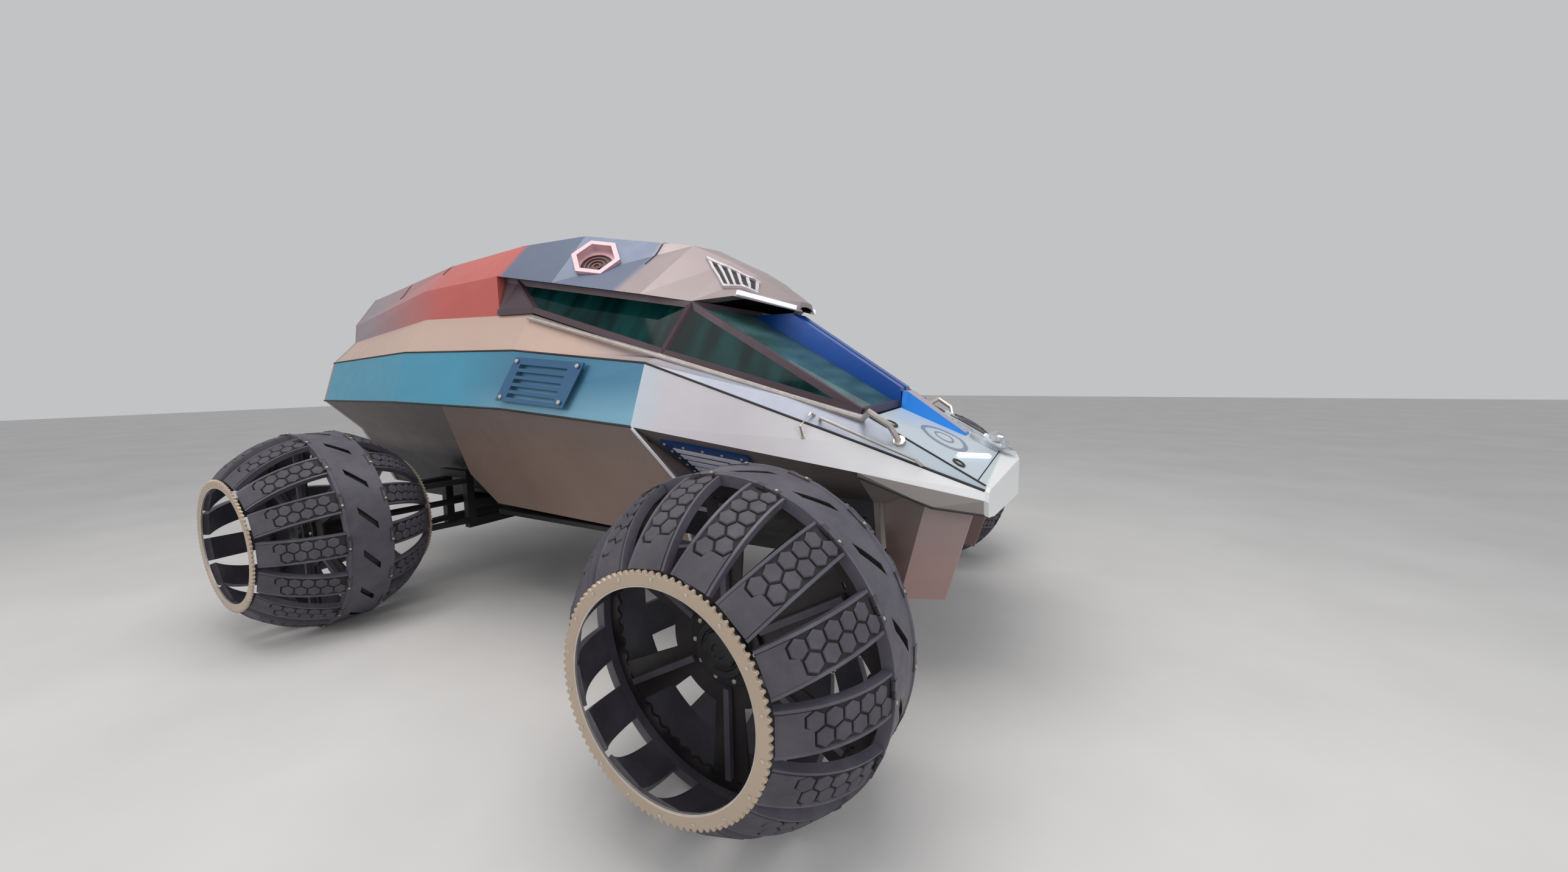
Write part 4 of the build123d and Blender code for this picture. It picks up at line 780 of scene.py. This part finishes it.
def lid_z(x):
    """Height of the bonnet on its middle line."""
    return LID_TOP_Z - LID_SLOPE * (x - SCREEN_X)


def lid_ring(shape, x, y, outer, inner, high, kind, steps):
    """A flat ring lying on the bonnet, a little shortened along it."""
    stretch, sunk = 0.88, -0.004
    section = ((inner, sunk), (inner, high), (outer, high), (outer, sunk))
    shape.loft([[on_bonnet(x + stretch * radius * c, y + radius * s, lift)[0] for radius, lift in section]
                for c, s in circle(steps)], kind)


def lid_light(shape, start, end, kind):
    """A light bar lying on the bonnet from start to end, with tapered ends."""
    sunk, chamfer = -0.004, 0.004
    rings = []
    for share in (0.0, 0.02, 0.98, 1.0):
        x, y = (a + share * (b - a) for a, b in zip(start, end))
        base, normal = on_bonnet(x, y)
        half, high = (0.010, 0.014) if share in (0.0, 1.0) else (0.014, 0.020)
        across = Vector((end[0] - start[0], end[1] - start[1], 0)).cross(normal).normalized()
        section = ((-half, sunk), (-half, high - chamfer), (-half + chamfer, high),
                   (half - chamfer, high), (half, high - chamfer), (half, sunk))
        rings.append([base + across * a + normal * h for a, h in section])
    shape.loft(rings, kind, closed=False)


def bonnet_fittings(shape, side):
    lid_ring(shape, BADGE_X, side * BADGE_Y, 0.142, 0.116, 0.002, 0, 48)
    lid_ring(shape, BADGE_X, side * BADGE_Y, 0.060, 0.048, 0.002, 0, 32)
    for x, y in GROMMETS:
        lid_ring(shape, x, side * y, 0.034, 0.020, 0.006, 1, 24)
        lid_ring(shape, x, side * y, 0.020, 0.002, 0.002, 2, 24)
    start, end = ((x, side * y) for x, y in (LIGHT_FROM, LIGHT_TO))
    lid_light(shape, start, end, 3)


both_sides("bonnet_fittings", bonnet_fittings, ["badge", "seam", "metal", "led"], "bonnet", "front_paint")

FOOT_END_X = FRONT_AXLE_X + 0.560
FOOT_TOP_Z, FOOT_T = 1.5415, 0.003
# Each section of the foot's top: x, half width, height
foot_sections = ((SCREEN_X + 0.008, 0.079, FOOT_TOP_Z), (SCREEN_X + 0.036, 0.079, FOOT_TOP_Z),
                 (FOOT_END_X - 0.004, 0.049, lid_z(FOOT_END_X) + 0.0135))
foot_top = Shape()
foot_top.loft([[(x, -half, z), (x, -half, z + FOOT_T), (x, half, z + FOOT_T), (x, half, z)]
               for x, half, z in foot_sections], closed=False)
shape_piece("spine_foot_top", foot_top, ["lilac"], "bonnet", "front_paint")

# A pale strip down the spine's ridge: a painted highlight, where light catches the top edge of the ridge
on_spine = draper("spine")
spine_painted_highlight = Shape()
rope(spine_painted_highlight, [on_spine(1.42 + 0.04 * i, 0.0, 0.001)[0] for i in range(18)], 0.007)
shape_piece("spine_painted_highlight", spine_painted_highlight, ["tube_pale"], "body", "front_paint")

# Lamp: a bright bowl inside the dome, with a bulb in it
BOWL = [(0.052, 0.050), (0.055, 0.050), (0.040, 0.020), (0.018, 0.008),
        (0.010, 0.008), (0.014, 0.011), (0.034, 0.024)]
BULB = [(0.0005, 0.012), (0.012, 0.012), (0.012, 0.034), (0.006, 0.040), (0.0005, 0.041)]
bowl = Shape()
lathe(bowl, BOWL, 32)
lathe(bowl, BULB, 20)
bowl_at = Matrix.Translation((FRONT_AXLE_X + 0.722, 0.0, lid_z(FRONT_AXLE_X + 0.720) + 0.020))
bowl_at @= Matrix.Rotation(math.radians(12), 4, "Y")
shape_piece("lamp_bowl", bowl, ["chrome"], "bonnet", "metal", bowl_at, True)

# Louvres: a framed panel on the roof's front facets, between four corners at (x, y)
on_roof = draper("roof")
LOUVRE_CORNERS = [(0.895, 0.345), (1.225, 0.250), (1.262, 0.335), (1.085, 0.458)]
LOUVRE_GAPS, LOUVRE_PITCH = 5, 0.19


def louvres(shape, side):
    rear_top, front_top, front_low, rear_low = (Vector((x, side * y, 0)) for x, y in LOUVRE_CORNERS)

    def at(u, v, lift):
        spot = (rear_top * (1 - u) + front_top * u) * (1 - v) + (rear_low * (1 - u) + front_low * u) * v
        return on_roof(spot.x, spot.y, lift)[0]

    def strip(start, end, du, dv, high, kind=0):
        """A strip of the panel from start to end, du and dv to each side of its middle."""
        steps, sunk = 8, -0.004
        rings = []
        for i in range(steps + 1):
            u, v = (a + (b - a) * i / steps for a, b in zip(start, end))
            rings.append([at(u - du, v - dv, sunk), at(u - du, v - dv, high),
                          at(u + du, v + dv, high), at(u + du, v + dv, sunk)])
        shape.loft(rings, kind, closed=False)

    for i in range(LOUVRE_GAPS):
        u = 0.115 + LOUVRE_PITCH * i
        strip((u, 0.03), (u, 0.97), 0.075, 0.0, 0.005, 1)
    strip((-0.02, 0.0), (1.02, 0.0), 0.0, 0.06, 0.020)
    strip((-0.02, 1.0), (1.02, 1.0), 0.0, 0.05, 0.020)
    for i in range(LOUVRE_GAPS + 1):
        u = 0.02 + LOUVRE_PITCH * i
        strip((u, 0.0), (u, 1.0), 0.035, 0.0, 0.016)


both_sides("louvres", louvres, ["louvre", "seam"], "body", "roof_paint")

# Inlets: a dark disc with four rings at the bottom of each cup
on_inlet = draper("inlets")
INLET_X, INLET_Y, DISC_R = 0.230, 0.670, 0.112


def inlet_grilles(shape, side):
    bottom, normal = on_inlet(INLET_X, side * INLET_Y)
    across = normal.orthogonal().normalized()
    rise = normal.cross(across)

    def ring(radius, lift):
        return ring_points(bottom + normal * lift, across, rise, radius, 30)

    shape.loft([ring(DISC_R, -WELD), ring(DISC_R, 0.003)], 0, closed=False)
    for outer in (0.110, 0.082, 0.054, 0.026):
        inner = outer - 0.006
        shape.loft([ring(inner, 0.002), ring(inner, 0.010), ring(outer, 0.010), ring(outer, 0.002)], 1)


both_sides("inlet_grilles", inlet_grilles, ["plate_dark", "inlet_red"], "body", "dark_trim")


def bent_handles(shape, side):
    """A small bent handle over the upper seam, near the front axle."""
    foot = on_skin(TOP_LINE, LOW_LINE, 1.854, 0.075, 0.0, side)
    over = on_skin(TOP_LINE, LOW_LINE, 1.846, 0.030, 0.034, side)
    top = on_skin(RAIL_LINE, TOP_LINE, 1.876, 0.120, 0.034, side)
    end = on_skin(RAIL_LINE, TOP_LINE, 1.885, 0.100, -0.002, side)
    rope(shape, [foot, over, top, end], 0.007)
    bolt_on(shape, foot, (0.3, side, 0.3), 0.014, 0.006)


both_sides("bent_handles", bent_handles, ["metal"], "body", "metal")

# Dark seams across the roof and along it, each from one (x, y) to another
on_rear = draper("rear_body")
ROOF_SEAMS = [
    (on_roof, (-0.49, 0.55), (-0.49, 0.0), 24),
    (on_roof, (0.57, 0.58), (0.57, 0.0), 24),
    (on_rear, (-1.45, 0.70), (-1.45, 0.0), 24),
    (on_rear, (-2.10, 0.70), (-2.10, 0.0), 24),
    (on_rear, (-0.52, 0.30), (-2.78, 0.30), 60),
    (on_roof, (-0.48, 0.30), (0.56, 0.30), 30),
]


def roof_seams(shape, side):
    for drape, (x0, y0), (x1, y1), steps in ROOF_SEAMS:
        rope(shape, [drape(x0 + (x1 - x0) * i / steps, side * (y0 + (y1 - y0) * i / steps))[0]
                     for i in range(steps + 1)], THIN_SEAM_R, sides=6)


both_sides("roof_seams", roof_seams, ["seam"], "body", "liner")

# Tail: on each side a dark bed with a red and an amber lamp, as (y0, y1, z0, z1, how far it stands out,
# kind, fall of the outer end), and a row of bolts. On the door: frame lines and a tube handle.
TAIL_BOXES = [
    (0.560, 0.930, 1.560, 1.680, 0.010, 0, 0.02),
    (0.580, 0.740, 1.580, 1.655, 0.022, 1, 0.008),
    (0.755, 0.910, 1.575, 1.650, 0.022, 2, 0.008),
]
TAIL_BOLT_Y, TAIL_BOLT_Z = 0.47, (0.95, 1.23, 1.51, 1.79)


def tail_lamps(shape, side):
    chamfer = 0.006
    for y0, y1, z0, z1, out, kind, fall in TAIL_BOXES:
        rings = []
        for inset, x in ((0.0, TAIL_X + WELD), (0.0, TAIL_X - out + chamfer), (chamfer, TAIL_X - out)):
            near, far = side * (y0 + inset), side * (y1 - inset)
            low, high = z0 + inset, z1 - inset
            rings.append([(x, near, low), (x, far, low - fall), (x, far, high - fall), (x, near, high)])
        shape.loft(rings, kind, closed=False)
    for z in TAIL_BOLT_Z:
        bolt_on(shape, (TAIL_X, side * TAIL_BOLT_Y, z), (-1, 0, 0), 0.010, 0.005, 3)


both_sides("tail_lamps", tail_lamps, ["seam", "red_lamp", "amber_lamp", "metal"], "body", "lamp")

LINE_W, LINE_Y, LINE_LOW, LINE_TOP = 0.012, 0.340, 0.760, 1.880
HANDLE_Y, HANDLE_LOW, HANDLE_TOP, HANDLE_OUT = 0.285, 1.100, 1.380, 0.042
FRAME_LINES = [
    (-LINE_Y, LINE_Y, LINE_LOW, LINE_LOW + LINE_W),
    (-LINE_Y, LINE_Y, LINE_TOP - LINE_W, LINE_TOP),
    (-LINE_Y, -LINE_Y + LINE_W, LINE_LOW + LINE_W, LINE_TOP - LINE_W),
    (LINE_Y - LINE_W, LINE_Y, LINE_LOW + LINE_W, LINE_TOP - LINE_W),
    (-LINE_Y + LINE_W, LINE_Y - LINE_W, 1.310, 1.318),
]
door = Shape()
for y0, y1, z0, z1 in FRAME_LINES:
    outline = [Vector((TAIL_X, y, z)) for y, z in ((y0, z0), (y1, z0), (y1, z1), (y0, z1))]
    plate(door, outline, Vector((-1, 0, 0)), -0.001, 0.003)
handle = [(-0.002, HANDLE_LOW), (0.036, HANDLE_LOW + 0.012), (HANDLE_OUT, HANDLE_LOW + 0.040),
          (HANDLE_OUT, HANDLE_TOP - 0.040), (0.036, HANDLE_TOP - 0.012), (-0.002, HANDLE_TOP)]
rope(door, [(TAIL_X - out, HANDLE_Y, z) for out, z in handle], 0.010, 1, 10)
for z in (HANDLE_LOW, HANDLE_TOP):
    bolt_on(door, (TAIL_X, HANDLE_Y, z), (-1, 0, 0), 0.022, 0.008, 1)
shape_piece("door_fittings", door, ["seam", "metal"], "rear_door", "metal")

# Camera at the photograph's angle, solved from the wheel and the body lines
FOCAL_PX, IMAGE_W, SENSOR_W = 878.0, 2576.0, 36.0
YAW, PITCH, ROLL = math.radians(-28.06), math.radians(6.38), math.radians(0.62)
CAMERA_AT = (3.036, -3.318, 1.641)
ahead = Vector((math.sin(YAW) * math.cos(PITCH), math.cos(YAW) * math.cos(PITCH), -math.sin(PITCH)))
right = Vector((math.cos(YAW), -math.sin(YAW), 0.0))
down = ahead.cross(right)
image_right = math.cos(ROLL) * right + math.sin(ROLL) * down
image_down = math.cos(ROLL) * down - math.sin(ROLL) * right
camera_data = bpy.data.cameras.new("camera")
camera = bpy.data.objects.new("camera", camera_data)
scene.collection.objects.link(camera)
turn = Matrix((image_right, -image_down, -ahead)).transposed()
camera.matrix_world = Matrix.Translation(CAMERA_AT) @ turn.to_4x4()
camera_data.sensor_width = SENSOR_W
camera_data.lens = FOCAL_PX / IMAGE_W * SENSOR_W
camera_data.clip_start = 0.05
scene.camera = camera

# World, floor and lamps
world = bpy.data.worlds.new("studio")
scene.world = world
world.use_nodes = True
background = world.node_tree.nodes["Background"]
background.inputs["Color"].default_value = (0.93, 0.94, 0.96, 1.0)
background.inputs["Strength"].default_value = 0.58
scene.view_settings.view_transform = "Standard"

FLOOR_HALF = 40
floor_mesh = bpy.data.meshes.new("studio_floor")
floor_corners = [(x * FLOOR_HALF, y * FLOOR_HALF, 0) for x, y in ((-1, -1), (1, -1), (1, 1), (-1, 1))]
floor_mesh.from_pydata(floor_corners, [], [(0, 1, 2, 3)])
floor = bpy.data.objects.new("studio_floor", floor_mesh)
scene.collection.objects.link(floor)
floor_mat, floor_tree, floor_bsdf = new_material("studio_floor")
floor_colour = ramp(floor_tree, noise(floor_tree, 0.8), (0.60, 0.59, 0.58, 1), (0.66, 0.65, 0.64, 1))
floor_tree.links.new(floor_colour, floor_bsdf.inputs["Base Color"])
floor_bsdf.inputs["Roughness"].default_value = 0.8
floor.data.materials.append(floor_mat)


def area_lamp(name, at, towards, size, power, colour):
    data = bpy.data.lights.new(name, "AREA")
    data.shape = "RECTANGLE"
    data.size, data.size_y = size
    data.energy = power
    data.color = colour
    lamp = bpy.data.objects.new(name, data)
    lamp.location = at
    lamp.rotation_euler = (Vector(towards) - Vector(at)).to_track_quat("-Z", "Y").to_euler()
    scene.collection.objects.link(lamp)


area_lamp("lamp_top", (1.0, -1.5, 6.5), (0.3, 0.0, 0.8), (6.0, 4.0), 230.0, (1.0, 0.98, 0.96))
area_lamp("lamp_front", (7.5, -4.0, 3.2), (1.8, 0.0, 1.0), (3.5, 3.0), 130.0, (0.96, 0.98, 1.0))
area_lamp("lamp_side", (-2.5, -7.0, 3.8), (0.0, 0.0, 1.2), (4.0, 3.0), 100.0, (1.0, 0.96, 0.93))
